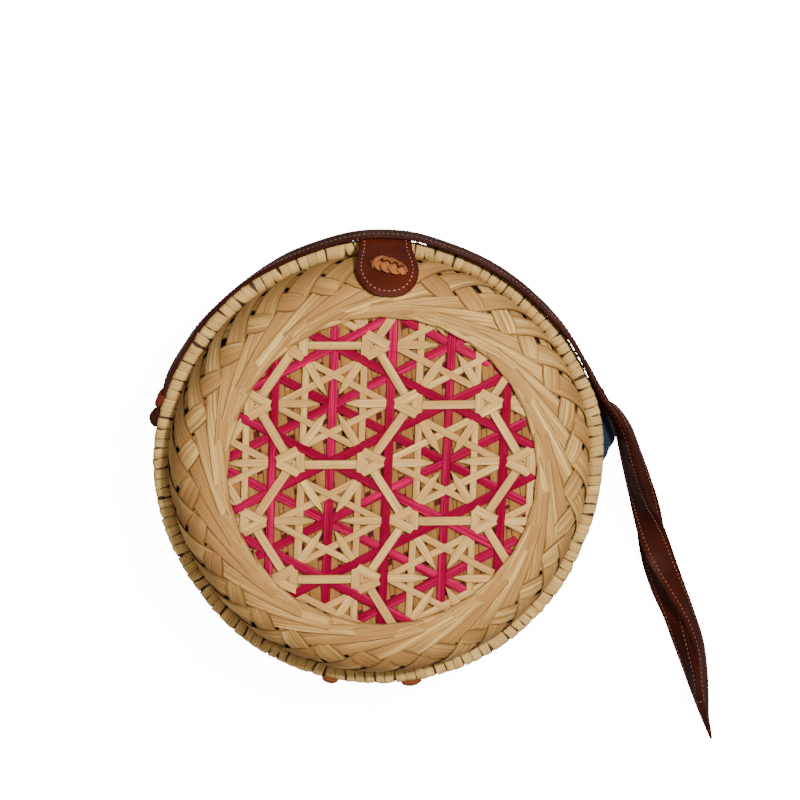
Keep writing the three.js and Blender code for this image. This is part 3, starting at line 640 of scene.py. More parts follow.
# The star weave. Steps from flower to flower, in plan
RISE = np.array([2.1, 50.0]) * MM
RIGHT_UP = np.array([49.1, 0.0]) * MM + RISE / 2
RIGHT_DOWN = RIGHT_UP - RISE
FRONT_FLOWER = np.array([26.9, 3.9]) * MM
BACK_FLOWER = -RIGHT_DOWN / 2
TIES = np.array([RIGHT_UP + RIGHT_DOWN, RIGHT_UP + RISE, RISE - RIGHT_DOWN]) / 3
TIES = np.concatenate([TIES, -TIES])
STAR_LEVEL = 0.34 * MM         # one layer of strips above the next
STAR_SINK = 0.8 * MM           # how far strips' ends go down under the ring
STAR_REACH = WEAVE_RADIUS + 1.8 * MM


def lattice(first, reach=95 * MM):
    """Every flower centre within reach of the axis: first + i * right up + j * rise."""
    i, j = np.meshgrid(np.arange(-5, 6), np.arange(-5, 6))
    centres = first + i.reshape(-1, 1) * RIGHT_UP + j.reshape(-1, 1) * RISE
    return centres[np.linalg.norm(centres, axis=1) < reach]


def star_strip(middle, along, ends, half_at, level_at, sizes, random, loose=0.0):
    """One straight strip in plan, middle + t * along for t between its ends, cut where it has gone
    under the ring. Its height is level_at(t) layers above the backing, and its half width is
    half_at(t). Loose is how far it may lie out of place."""
    aside = unit(np.array([-along[1], along[0]]))
    middle = middle + aside * random.normal(0, loose)
    along = along + aside * random.normal(0, loose)
    a, b, c = along @ along, middle @ along, middle @ middle - STAR_REACH ** 2
    root = b * b - a * c
    if root <= 0:
        return []
    low, high = (max(ends[0], (-b - root ** 0.5) / a), min(ends[1], (-b + root ** 0.5) / a))
    size = (high - low) * a ** 0.5
    if size < 2 * MM:
        return []
    t = np.linspace(low, high, max(5, int(size / (1.3 * MM))))
    plan = middle + t[:, None] * along
    sink = STAR_SINK * smooth_step(WEAVE_RADIUS - 2.4 * MM, WEAVE_RADIUS + 0.8 * MM,
                                   np.linalg.norm(plan, axis=-1))
    height = MAT_TOP + 0.24 * MM + STAR_LEVEL * level_at(t) + random.normal(0, 0.02 * MM) - sink
    return [swept(np.column_stack([plan, height]), UP, half_at(t) * (1 + random.normal(0, 0.035)),
                  sizes.star_thickness, seeds=random.random(1))]


def magenta_weave(first, sizes, seed):
    """Dyed strips in three directions. One through flowers is high at each flower, and one
    beside them is high half-way between its crossings, where plain strips go under it."""
    random = np.random.default_rng(seed)
    half_at = lambda t: np.full(t.shape, sizes.magenta_strip / 2)
    through = lambda t: between((0, 0.14, 0.25, 0.5), np.abs(t - np.round(t)), (1.0, 0.8, 0.1, 0.7))
    beside = lambda t: between((0, 0.5), np.abs(2 * t - np.round(2 * t)), (0.7, 2.9))
    strips = []
    for along, next_line, top in ((RISE, RIGHT_UP, 1.0), (RIGHT_UP, RISE, 0.5), (RIGHT_DOWN, RISE, 0.0)):
        for k in range(-6, 7):
            level = beside if k % 2 else through
            level_at = lambda t: level(t) + top * (1 - smooth_step(0.08, 0.2, np.abs(
                (2 * t if k % 2 else t) - np.round(2 * t if k % 2 else t))))
            strips += star_strip(first + next_line * k / 2, along, (-5, 5), half_at, level_at, sizes,
                                 random, 0.2 * MM)
    return joined(*strips)


# Directions of the plain strips: along, the step to the next line, the lean of that step that
# leads straight away from a flower, its sign at a tie, and the layers by which it lies higher
PLAIN_LINES = ((RISE, RIGHT_UP, -0.5, -1, 0.0), (RIGHT_UP, RISE, -0.5, -1, 0.35),
               (RIGHT_DOWN, RISE, 0.5, 1, 0.7))


def natural_weave(first, sizes, seed):
    """Plain strips round each flower: six that cross as a star and tuck under the dyed ones, six
    pointed petals over them, bars that join the ties over the dyed crossings, and three short
    strips over their ends at each tie."""
    random = np.random.default_rng(seed)
    wide = lambda size: lambda t: np.full(t.shape, size / 2)
    star_level = lambda t: between((0, 0.17, 0.36, 0.5), np.abs(t), (1.9, 2.5, 2.0, 0.9))
    tie_level = lambda t: between((0, 0.22, 0.5), np.abs(t), (3.6, 3.3, 1.2))
    bar_level = lambda t: between((0, 0.22, 0.36, 0.5), np.abs(t), (4.3, 4.1, 2.6, 1.8))
    petal_level = lambda t: between((0, 0.25, 0.5, 0.8, 1), t, (2.3, 3.3, 4.0, 2.8, 1.2))
    petal_half = lambda t: sizes.petal / 2 * between((0, 0.08, 0.32, 0.7, 1), t, (0.1, 0.42, 1, 1, 0.9))
    ends = (-0.5, 0.5)
    strips = []

    def lay(middle, along, reach, half_at, level_at, loose):
        strips.extend(star_strip(middle, along, reach, half_at, level_at, sizes, random, loose * MM))

    for centre in lattice(first):
        for along, step, lean, sign, top in PLAIN_LINES:
            out = step + along * lean
            raised = lambda t: star_level(t) + top * (1 - smooth_step(0.34, 0.48, np.abs(t)))
            for side in (-1, 1):
                lay(centre + out * side / 4, along * 0.79, ends, wide(sizes.natural_strip), raised, 0.35)
            for tie, kind in ((TIES[1], sign), (-TIES[1], -sign)):
                over = lambda t: tie_level(t) + top
                lay(centre + tie + out * kind / 15.5, along * 0.255, ends, wide(sizes.natural_strip * 1.4),
                    over, 0.3)
        for tie in TIES:
            lay(centre + tie * 0.17, tie * 0.62, (0, 1), petal_half, petal_level, 0.3)
        for step, across in ((RISE, TIES[0]), (RIGHT_UP, TIES[2]), (RIGHT_DOWN, TIES[1])):
            lay(centre + step / 2, across * 0.98, ends, wide(sizes.bar), bar_level, 0.3)
    return joined(*strips)


BACKING_LAYERS = ((25.0, -0.34), (95.0, -0.05))    # direction in degrees, millimetres over the mat
BACKING_PITCH, BACKING_HALF, BACKING_THICKNESS = 7.4 * MM, 2.75 * MM, 0.3 * MM


def backing(seed):
    """Broad plain strips behind the star weave, side by side in two layers, over a closed disc."""
    random = np.random.default_rng(seed)
    disc_edge, low = OPENING_RADIUS + 1.6 * MM, MAT_TOP - 1.5 * MM
    points, faces, marks = turned([(0.01 * MM, MAT_TOP - 0.5 * MM), (disc_edge, MAT_TOP - 0.5 * MM),
                                   (disc_edge, low), (0.01 * MM, low)], 64)
    surfaces = [(points, faces, np.ones(marks.shape))]
    for turn, lift in BACKING_LAYERS:
        direction = np.array([np.cos(np.radians(turn)), np.sin(np.radians(turn))])
        aside = np.array([-direction[1], direction[0]])
        for k in range(-9, 10):
            middle = aside * BACKING_PITCH * (k + 0.5)
            reach = np.sqrt(max(0.0, disc_edge ** 2 - middle @ middle))
            if reach < 6 * MM:
                continue
            t = np.linspace(-reach, reach, 24)
            sway = random.normal(0, 0.5 * MM) * np.cos(t / (22 * MM) + random.random() * 6)
            plan = middle + t[:, None] * direction + sway[:, None] * aside
            height = MAT_TOP + lift * MM - 0.1 * MM + 0.06 * MM * np.cos(np.pi * t / BACKING_PITCH)
            surfaces.append(swept(np.column_stack([plan, height]), UP, BACKING_HALF, BACKING_THICKNESS,
                                  seeds=random.random(1)))
    return joined(*surfaces)


# Leather

def stitches(track, up, lengths, sizes, thickness=0.5 * MM):
    """Short threads along a track. Each rises out of the leather, runs along it and dips in
    again: its place is the track's at its own length, plus up times a half wave."""
    along = run_length(track)
    share = np.linspace(-0.5, 0.5, 5)
    wanted = np.asarray(lengths)[:, None] + share * sizes.stitch
    out = unit(looked_up(wanted, along, up))
    middles = looked_up(wanted, along, track) + out * (np.cos(np.pi * share)[:, None] * 0.15 * MM - 0.06 * MM)
    thick = thickness * np.array([0.5, 0.95, 1.0, 0.95, 0.5])
    return swept(middles, out, thick / 2, thick, THREAD_SECTION, np.linspace(0, 1, len(lengths)))


TAB_OFFSET = 2.2 * MM
TAB_THICKNESS = 1.8 * MM
TAB_NECK = 11.8 * MM           # half widths
TAB_WIDEST = 13.7 * MM
TAB_ROUND_END = 18.0 * MM      # length of the rounded end
TAB_BELLY = 2.3                # power of the rounded end's superellipse
TAB_STITCH_INSET = 2.5 * MM
TAB_PLAN_SHARE = 0.65          # how much its stitches are spaced by the plan, not by the length
TAB_BEND = 0.1                 # the radius in metres round which its stitches lean outwards
TAB_END = 74.3 * MM
TAB_TOUCH = 86.4 * MM          # where it meets the shoulder
KNOT_SEAT = 87.2 * MM
KNOT_OFFSET = 0.7 * MM
KNOT_TURN = np.radians(-28)
KNOT_HALF = 7.9 * MM
KNOT_TURNS = 1.45              # of a strand along the knot
KNOT_SWING, KNOT_WAVE = 3.3 * MM, 1.1 * MM    # of a strand, across the knot and up
KNOT_HEIGHT, KNOT_SINK = 2.0 * MM, 0.1 * MM   # of the plait's middle over the tab, and of its ends
STRAND_HALF, STRAND_THICKNESS = 2.0 * MM, 1.0 * MM
LACE_HALF, LACE_THICKNESS = 0.75 * MM, 0.8 * MM
CORE_HEIGHT, CORE_HALF_SIZES = 1.5 * MM, (KNOT_HALF * 0.9, 2.6 * MM, 1.55 * MM)


def tab_run(count):
    """The tab's middle line, (0, y, z): up the rims, over their corner, and along the shoulder a
    little above it, with its direction away from the bag."""
    stand = 0.3 * MM + TAB_THICKNESS / 2
    outside, top = RIM_RADIUS + stand, SEAM + RIM_HEIGHT
    radius, height, normal = shoulder(np.linspace(0, 1, 400))
    above = np.column_stack([radius, SEAM + height]) + stand * normal
    face = looked_up(np.linspace(TAB_TOUCH, TAB_END, 6), radius, above)
    points = np.vstack([(outside, SEAM - 9 * MM), (outside, SEAM), (outside, top - RIM_ROUNDING),
                        (outside - 1.3 * MM, top + 1.3 * MM), face])
    run = smooth_path(np.column_stack([np.zeros(len(points)), points]), count)
    return run, np.cross(headings(run), (1, 0, 0))


def tab_half(from_end):
    """Half the tab's width at a length from its end: a superellipse with a wide belly, and a
    narrower neck past it."""
    share = np.clip(from_end / TAB_ROUND_END, 0, 1)
    belly = (1 - (1 - share) ** TAB_BELLY) ** (1 / TAB_BELLY)
    neck = smooth_step(17 * MM, 36 * MM, from_end)
    return belly * (TAB_WIDEST * (1 - neck) + TAB_NECK * neck)


def bent_round(points):
    """Bends what is flat across X round the bag's axis, at the same distance, and moves it aside."""
    x = points[:, 0] + TAB_OFFSET
    return np.column_stack([x, np.sqrt(points[:, 1] ** 2 - x ** 2), points[:, 2]])


def tab_leather():
    """The tab: a wide band along its run, as wide at each place as its outline."""
    run, up = tab_run(90)
    total = run_length(run)[-1]
    share = np.sin(np.linspace(0, np.pi / 2, 110)) * 0.9995
    run, up = resampled(run, share), resampled(np.column_stack([run, up]), share)[:, 3:]
    half = np.maximum(tab_half(total * (1 - share)), 0.4 * MM)
    return swept(run, up, half, TAB_THICKNESS, wide_section(22), shaped=bent_round)


def tab_stitches(sizes):
    """A row of stitches inside the tab's edge, down one side, round the end and back. They are
    spaced more by the plan than by the length, so that the steep sides have fewer."""
    inset = TAB_STITCH_INSET
    run, up = tab_run(200)
    along = run_length(run)
    total = along[-1]
    angle = np.linspace(0, np.pi, 160)
    end = TAB_ROUND_END - inset
    side = np.linspace(total - 8 * MM, TAB_ROUND_END, 40)
    from_end = np.concatenate([side, TAB_ROUND_END - end * np.sin(angle) ** (2 / TAB_BELLY), side[::-1]])
    round_end = np.sign(np.cos(angle)) * np.abs(np.cos(angle)) ** (2 / TAB_BELLY)
    across = np.concatenate([inset - tab_half(side), (inset - TAB_WIDEST) * round_end,
                             tab_half(side[::-1]) - inset])
    row = looked_up(total - from_end, along, np.column_stack([run, up]))
    top = row[:, :3] + row[:, 3:] * TAB_THICKNESS / 2 + across[:, None] * (1, 0, 0)
    track = bent_round(top)
    lean = np.sin(across / TAB_BEND)[:, None] * (1, 0, 0)
    true, plan = run_length(track), run_length(track[:, :2])
    paced = (1 - TAB_PLAN_SHARE) * true + TAB_PLAN_SHARE * plan
    paces = np.arange(sizes.stitch_pitch, paced[-1] - sizes.stitch_pitch, sizes.stitch_pitch)
    lengths = np.interp(paces, paced, true)
    return stitches(track, unit(row[:, 3:] + lean), lengths, sizes)


def knot_frame():
    """The middle of the knot's seat on the tab, its long direction, its outward direction and the
    direction across it."""
    run, up = tab_run(400)
    row = np.argmin(np.abs(run[200:, 1] - KNOT_SEAT)) + 200
    middle, out = bent_round(run[row][None])[0], up[row]
    side = np.array([1.0, 0, 0])
    ahead = np.cross(out, side)
    long = side * np.cos(KNOT_TURN) + ahead * np.sin(KNOT_TURN)
    seat = middle + side * KNOT_OFFSET + out * TAB_THICKNESS / 2
    return seat, unit(long), unit(out), unit(np.cross(out, long))


def knot_strands():
    """Three strands plaited round a roll: strand k runs along it at x, at a sin(w) across and
    b sin(2w) up, where w = 2 pi n x + 2 pi k / 3, and it narrows into both ends."""
    seat, long, out, across = knot_frame()
    share = np.linspace(0, 1, 90)
    w = 2 * np.pi * (KNOT_TURNS * share[None] + np.arange(3)[:, None] / 3)
    taper = np.sin(np.pi * np.clip(share, 0.05, 0.95)) ** 0.35
    rise = np.sin(np.pi * share) ** 0.45
    place = (seat + long * ((share - 0.5) * 2 * KNOT_HALF)[None, :, None]
             + across * (KNOT_SWING * taper * np.sin(w))[..., None]
             + out * (KNOT_WAVE * taper * np.sin(2 * w) + KNOT_HEIGHT * rise - KNOT_SINK)[..., None])
    up = out + across * (0.6 * np.sin(w))[..., None]
    return swept(place, up, STRAND_HALF * taper[None], STRAND_THICKNESS * taper[None], BAND_SECTION,
                 np.array([0.1, 0.5, 0.9]))


def knot_core():
    """The dark roll inside the plait; its dark colour is painted shade in the gaps between the strands."""
    seat, long, out, across = knot_frame()
    return cushion(seat + out * CORE_HEIGHT, (long, across, out), CORE_HALF_SIZES, 0.8)


def knot_lace():
    """A thin lace over the knot, from the tab on one side to the tab on the other."""
    seat, long, out, across = knot_frame()
    turn = np.linspace(-0.12, 1.12, 40) * np.pi
    arc = (seat + long * (-4.2 * MM) + out * 0.4 * MM + across * (3.5 * MM * np.cos(turn))[:, None]
           + out * (3.7 * MM * np.sin(turn))[:, None] + long * (1.6 * MM * np.cos(turn))[:, None])
    up = across * np.cos(turn)[:, None] + out * np.sin(turn)[:, None]
    return swept(arc, up, LACE_HALF, LACE_THICKNESS, BAND_SECTION)


STRAP_WIDTH = 13 * MM
STRAP_THICKNESS = 2.0 * MM
STRAP_LEFT_END, STRAP_RIGHT_END = 163, 16    # degrees round the axis
STRAP_STATIONS = 35            # rows of its middle line round the rims
STRAP_STITCH_INSET = 2.3 * MM
STRAP_PINCH, STRAP_PINCH_MOST = 0.65, 0.6    # how its lower edge thins at the loop's tip
TAB_ANGLE, TAB_ANGLE_REACH = 88.74, 20       # where it goes over the tab, and degrees to each side
TAB_CLEARANCE, TAB_FLAT_TOP = 1.3, 0.675     # millimetres that it stands out there, and its evenness
LOOP_OUT, LOOP_DOWN = 60 * MM, 167 * MM      # the loop's spread beyond the rims, and its reach
# Round the rims: minus the degrees round the axis, the millimetres that the strap's middle stands
# off them and above the seam, and its roll in degrees, which is negative where it leans inwards
STRAP_ARC = np.array([
    (-164, 1.3, 0, -3), (-157, 1.75, -1.5, -8), (-147, 1.45, -2.5, -6), (-130, 0.95, -2.5, 0),
    (-112, 1.3, 5, -11), (-45, 1.4, 5, -12), (-30, 1.4, 5.3, -6), (-22, 1.55, 5.4, 0), (-15, 2.5, 5.6, 7)])
# The loop beyond the rim: shares down and out to its tip, the height above resting as a share of
# the seam's height, the roll in degrees, and how far the lower edge is carried tipwards
STRAP_UPPER = np.array([
    (0.080, 0.137, 0.98, 13, 0), (0.184, 0.246, 0.80, 19, 0), (0.283, 0.355, 0.50, 27, 0),
    (0.362, 0.460, 0.28, 52, 0), (0.430, 0.544, 0.19, 82, 0), (0.495, 0.620, 0.13, 108, 0),
    (0.572, 0.722, 0.09, 132, 0), (0.645, 0.818, 0.04, 147, 0), (0.730, 0.900, 0.01, 151, 0),
    (0.800, 0.926, 0, 152, 0.2), (0.860, 0.937, 0, 158, 0.9), (0.908, 0.948, 0, 170, 2.1)])
STRAP_TIP = np.array([
    (0.932, 0.956, 0, 178, 4.1), (0.938, 0.950, 0, 180, 4.5), (0.934, 0.938, 0, 182, 4.1)])
STRAP_LOWER = np.array([
    (0.908, 0.914, 0, 184, 2.1), (0.860, 0.876, 0, 190, 0.9), (0.800, 0.832, 0, 199, 0.2),
    (0.730, 0.774, 0, 208, 0), (0.645, 0.706, 0, 220, 0), (0.572, 0.640, 0, 243, 0),
    (0.495, 0.578, 0, 262, 0), (0.430, 0.542, 0, 275, 0), (0.362, 0.505, 0.02, 290, 0),
    (0.283, 0.445, 0.13, 312, 0), (0.184, 0.340, 0.36, 328, 0), (0.100, 0.243, 0.55, 340, 0),
    (0.045, 0.148, 0.63, 352, 0), (0.018, 0.060, 0.65, 360, 0), (-0.016, 0.012, 0.65, 363, 0)])


def strap_frame():
    """The strap's middle line, the direction of its width and its facing at even lengths. Round
    the rims it stands on edge, and its loop rolls over as its table says."""
    degrees = np.linspace(STRAP_LEFT_END, STRAP_RIGHT_END, STRAP_STATIONS)
    from_tab = np.clip(np.abs(degrees - TAB_ANGLE) / TAB_ANGLE_REACH, 0, 1)
    stand, rise, lean = (between(STRAP_ARC[:, 0], -degrees, column) for column in STRAP_ARC.T[1:])
    over_tab = np.minimum(1, TAB_FLAT_TOP * (1 + np.cos(np.pi * from_tab)))
    radius = RIM_RADIUS + (stand + TAB_CLEARANCE * over_tab) * MM
    arc = polar(radius, np.radians(degrees), SEAM + rise * MM)
    rows = np.vstack([STRAP_UPPER, STRAP_TIP, STRAP_LOWER])
    layer = np.repeat([1.0, 1.0, -1.0], [len(STRAP_UPPER), len(STRAP_TIP), len(STRAP_LOWER)])
    down, out, lift, roll, rake = rows.T
    roll = np.radians(roll)
    rest = 0.15 * MM + STRAP_WIDTH / 2 * np.abs(np.cos(roll)) + STRAP_THICKNESS / 2 * np.abs(np.sin(roll))
    loop = np.column_stack([arc[-1, 0] + out * LOOP_OUT, arc[-1, 1] - down * LOOP_DOWN, rest + lift * SEAM])
    place = np.vstack([arc, loop])
    roll, rake, layer = (np.concatenate([start * np.ones(STRAP_STATIONS), values])
                         for start, values in ((np.radians(lean), roll), (0, rake), (1, layer)))
    heading = np.empty_like(place)
    heading[1:-1], heading[0], heading[-1] = (place[2:] - place[:-2], place[1] - place[0],
                                              place[-1] - place[-2])
    heading = unit(heading)
    aloft = unit(UP - heading * heading[:, 2:])
    outward = np.cross(aloft, heading) * layer[:, None]
    edge = aloft * np.cos(roll)[:, None] + outward * np.sin(roll)[:, None]
    facing = unit(np.cross(heading, edge))
    width = edge + unit(np.array([LOOP_OUT, -LOOP_DOWN, 0])) * rake[:, None] / 2
    return smooth_path(np.column_stack([place, width, facing]), 420)


def strap_thickness(width, share):
    """The strap's thickness at a share of its half width: its lower edge is pinched at the tip."""
    pinch = np.clip(np.linalg.norm(width, axis=1) - 1, 0, STRAP_PINCH_MOST)
    return STRAP_THICKNESS * (1 - pinch[:, None] * STRAP_PINCH * (1 + share))


def strap_leather():
    """The strap: a rounded band section carried along, with its own direction of width."""
    track = strap_frame()
    middle, width, facing = track[:, :3], track[:, 3:6], unit(track[:, 6:])
    s, t = BAND_SECTION.T
    points = (middle[:, None] + width[:, None] * STRAP_WIDTH / 2 * s[:, None]
              + facing[:, None] * (strap_thickness(width, s) * t)[..., None])
    _, faces, marks = swept(middle, facing, 1.0, 1.0, BAND_SECTION)
    return points.reshape(-1, 3), faces, marks


def strap_stitches(sizes):
    """Two rows of stitches on both faces, a little inside the strap's edges."""
    track = strap_frame()
    middle, width, facing = track[:, :3], track[:, 3:6], unit(track[:, 6:])
    rows = []
    for edge in (-1, 1):
        for face in (-1, 1):
            inside = edge * (1 - STRAP_STITCH_INSET / (STRAP_WIDTH / 2))
            line = (middle + width * STRAP_WIDTH / 2 * inside
                    + facing * face * strap_thickness(width, inside) / 2)
            lengths = np.arange(3 * MM, run_length(line)[-1] - 3 * MM, sizes.stitch_pitch)
            rows.append(stitches(line, facing * face, lengths, sizes))
    return joined(*rows)


def rim_band(degrees, half_width, stations, thick):
    """A band across both rims at an angle: its stations are (stand off the rims, height), and it
    bends with them."""
    path = smooth_path(np.column_stack([np.zeros(len(stations)), np.asarray(stations) * MM]), 40)
    radial, height = RIM_RADIUS + path[:, 1], path[:, 2]
    out = polar(1, np.radians(degrees), 0)
    middles = out * radial[:, None] + UP * height[:, None]
    flat = np.column_stack([np.zeros(40), radial, height])
    up = np.cross((1, 0, 0), headings(flat))
    return swept(middles, out * up[:, 1:2] + UP * up[:, 2:], half_width, thick, CROWN_SECTION)


HINGES = ((257, 3.65 * MM), (278, 4.5 * MM))    # degrees round the axis, and half the width
HINGE_THICKNESS = 1.2 * MM
# Along a loop, in millimetres: how far it stands off the rims, and its height
HINGE_STATIONS = ((-0.7, 48.9), (0.55, 47.6), (0.95, 44.5), (0.95, 40.0), (0.95, 35.5), (0.55, 32.4),
                  (-0.7, 31.1))


def hinge_loop(degrees, half_width):
    """A folded leather loop over both rims, from one half's shoulder side to the other's."""
    return rim_band(degrees, half_width, HINGE_STATIONS, HINGE_THICKNESS)


# The lugs: degrees round the axis of the knob and of its loop's two ends, height, and tallness
LUGS = (("left", 163.7, (166.0, 170.8), SEAM, 11 * MM),
        ("right", 12.5, (14.5, 19.5), SEAM - 7.04 * MM, 10 * MM))
LUG_STAND = 1.5 * MM           # the knob's middle off the rims
LUG_HALF_WIDTH, LUG_HALF_DEPTH = 4.2 * MM, 2.3 * MM


def lug(knob, loop, height, tall):
    """A leather lug against the rims: a rounded knob, and beside it a loop that bulges outwards. The loop is
    filled solid, so that it reads as its own shaded inside.
    """
    out = polar(1, np.radians(knob), 0)
    body = cushion(out * (RIM_RADIUS + LUG_STAND) + UP * height, (np.cross(UP, out), UP, out),
                   (LUG_HALF_WIDTH, tall / 2, LUG_HALF_DEPTH), 0.62, 24)
    start, end = np.radians(loop)
    share = np.linspace(0, 1, 24)
    turn = start + (end - start) * share
    swell = np.sin(np.pi * share) ** 0.7
    middles = polar(RIM_RADIUS + 0.2 * MM + 1.7 * MM * swell, turn, height)
    return body, swept(middles, polar(1, turn, 0), tall * 0.4, (1.0 + 3.4 * swell) * MM, BAND_SECTION)


GUSSET_START, GUSSET_SPREAD = -1.5, 17       # degrees round the axis
GUSSET_REACH, GUSSET_INSET = 9.0 * MM, 0.6 * MM
GUSSET_SAG = 0.9               # how far it hangs for each length that it stands out
GUSSET_PLY = 0.42 * MM         # each ply off the fold's middle
# How far it stands out along the seam, as shares of its reach
GUSSET_SHARES = (0, 0.18, 0.34, 0.44, 0.58, 0.8, 1)
GUSSET_STAND = (0.1, 0.4, 0.8, 1.0, 0.7, 0.6, 0.3)


def gusset():
    """Two plies of cloth that fold out of the seam. They stand out as the table says along it and
    sag with their distance from it, a small wave runs across them, and they meet at the fold."""
    along = np.linspace(0, 1, 48)[:, None]
    out = np.linspace(0, 1, 12)[None]
    stand = between(GUSSET_SHARES, along, GUSSET_STAND)
    from_seam = (GUSSET_INSET + GUSSET_REACH * stand) * out
    sag = 0.25 * MM * np.sin(9 * out + 5 * along) * out - GUSSET_SAG * from_seam
    gap = GUSSET_PLY * np.sqrt(np.clip(1 - out ** 3, 0, 1))
    upper, lower = (polar(RIM_RADIUS - GUSSET_INSET + from_seam,
                          np.radians(GUSSET_START + GUSSET_SPREAD * along), SEAM + sag + side * gap)
                    for side in (1, -1))
    points = np.concatenate([upper, lower[:, ::-1]], axis=1)
    index = np.arange(points.size // 3).reshape(points.shape[:2])
    caps = np.stack([index[0], index[-1, ::-1]])
    return points.reshape(-1, 3), [tube_faces(index), caps], np.zeros((index.size, 3))


# Fixed colours: pale and deep of the lining, the hoops and the tab's thread, and two leathers; the lining,
# the hoops and the knot core are dark as painted shade
LINING_SHADE_COLOURS = srgb(92, 56, 36), srgb(40, 24, 18)
HOOP_SHADE_COLOURS = srgb(74, 44, 26), srgb(36, 20, 12)
TAB_THREAD_COLOURS = srgb(186, 130, 100), srgb(140, 86, 62)
KNOT_CORE_SHADE_COLOUR = srgb(60, 26, 14)
HINGE_COLOUR = srgb(106, 56, 30)

# The stage, in metres and watts, and the camera, with its lens and sensor in millimetres
FLOOR_HALF, FLOOR_GLOW = 6.0, 14.0
WORLD_STRENGTH = 0.37
LAMP_AIM = (0, 0, 0.04)
LAMPS = (("key_light", (0.36, 0.38, 1.12), 28.4, 0.13), ("fill_light", (-0.7, -0.7, 1.2), 9.0, 1.0))
CAMERA_LENS, CAMERA_SENSOR, CAMERA_NEAR = 85.87, 36.0, 0.05
CAMERA_PLACE, CAMERA_AHEAD = (-0.0302, 0.1099, 0.8823), (0.0464, -0.0981, -0.9941)


# Operators, one for each piece or group of like pieces

def settings(context):
    """The bag's sizes and colours as they are set in the scene."""
    bag = context.scene.bamboo_bag
    return bag.sizes, bag.colours


def make_halves(name, surfaces, finish, node=None):
    """A piece on the front half and its like on the back half, from a front surface for each."""
    for half, surface in (("front", surfaces[0]), ("back", turned_over(surfaces[1]))):
        make_piece(f"{half}_{name}", surface, finish, [f"{half}_{node}"] if node else ())


class BAG_OT_rings(bpy.types.Operator):
    """Weave both rings and the dark lining behind them, whose darkness is painted shade"""
    bl_idname = "bag.rings"
    bl_label = "Woven Rings"
    bl_options = {"REGISTER", "UNDO"}

    def execute(self, context):
        sizes, colours = settings(context)
        # The high edge share darkens the ring strips' edges: their own edges plus painted shade where they
        # shingle
        bamboo = bamboo_finish("Bamboo", colours.bamboo, colours.bamboo_deep, edge=0.95)
        dark = plain_finish("Lining shade", *LINING_SHADE_COLOURS, 90.0)
        make_halves("ring_weave", [ring_weave(sizes, seed) for seed in (3, 4)], bamboo, "bowl")
        make_halves("lining", [lining()] * 2, dark)
        return {"FINISHED"}


class BAG_OT_rims(bpy.types.Operator):
    """Whip both rims round their hoops"""
    bl_idname = "bag.rims"
    bl_label = "Whipped Rims"
    bl_options = {"REGISTER", "UNDO"}

    def execute(self, context):
        sizes, colours = settings(context)
        pale = bamboo_finish("Whipping", colours.whipping, colours.whipping_deep, 0.5, 0.9, 0.85)
        dark = plain_finish("Hoop shade", *HOOP_SHADE_COLOURS, 200.0)
        make_halves("whipping", [whipping(sizes, seed) for seed in (5, 6)], pale, "rim")
        make_halves("hoop", [hoop()] * 2, dark)
        return {"FINISHED"}


class BAG_OT_stars(bpy.types.Operator):
    """Weave the star pattern and its backing in both faces"""
    bl_idname = "bag.stars"
    bl_label = "Star Weaves"
    bl_options = {"REGISTER", "UNDO"}

    def execute(self, context):
        sizes, colours = settings(context)
        # The edge shares darken the strips' edges, mostly as painted shade beside and between the star strips
        # and on the backing
        magenta = bamboo_finish("Magenta", colours.magenta, colours.magenta_deep, 0.55, 1.1, 0.85)
        natural = bamboo_finish("Natural", colours.natural, colours.natural_deep, 0.48, 1.0, 0.95)
        tan = bamboo_finish("Backing", colours.backing, darker(colours.backing, 0.68), 0.6, 0.5, 1.0,
                            tuple(colours.backing_deep))
        for half, flower, seed, place in (("front", FRONT_FLOWER, 11, lambda surface: surface),
                                          ("back", BACK_FLOWER, 12, turned_over)):
            make_piece(f"{half}_star_magenta", place(magenta_weave(flower, sizes, seed)), magenta,
                       [f"{half}_magenta_weave"])
            make_piece(f"{half}_star_natural", place(natural_weave(flower, sizes, seed)), natural,
                       [f"{half}_natural_weave"])
            make_piece(f"{half}_backing", place(backing(seed)), tan, [f"{half}_mat"])
        return {"FINISHED"}


class BAG_OT_closure(bpy.types.Operator):
    """Make the leather tab, its stitches and the plaited toggle knot"""
    bl_idname = "bag.closure"
    bl_label = "Closure"
    bl_options = {"REGISTER", "UNDO"}

    def execute(self, context):
        sizes, colours = settings(context)
        leather = leather_finish("Tab leather", colours.tab, 0.36)
        plait = leather_finish("Knot leather", colours.knot, 0.42, 0.5)
        thread = plain_finish("Tab thread", *TAB_THREAD_COLOURS, 900.0)
        dark = leather_finish("Knot core shade", KNOT_CORE_SHADE_COLOUR, 0.5)
        make_piece("tab_leather", tab_leather(), leather, ["closure_tab"])
        make_piece("tab_stitches", tab_stitches(sizes), thread, crease=80)
        make_piece("knot_plait", knot_strands(), plait, ["toggle_knot"])
        make_piece("knot_core", knot_core(), dark)
        make_piece("knot_lace", knot_lace(), plait)
        return {"FINISHED"}


class BAG_OT_hinges(bpy.types.Operator):
    """Fold the two leather loops that hinge the halves"""
    bl_idname = "bag.hinges"
    bl_label = "Hinge Loops"
    bl_options = {"REGISTER", "UNDO"}

    def execute(self, context):
        leather = leather_finish("Hinge leather", HINGE_COLOUR, 0.42)
        for name, (degrees, half) in zip(("left", "right"), HINGES):
            make_piece(f"hinge_{name}", hinge_loop(degrees, half), leather,
                       [f"hinge_loop_{name}"])
        return {"FINISHED"}


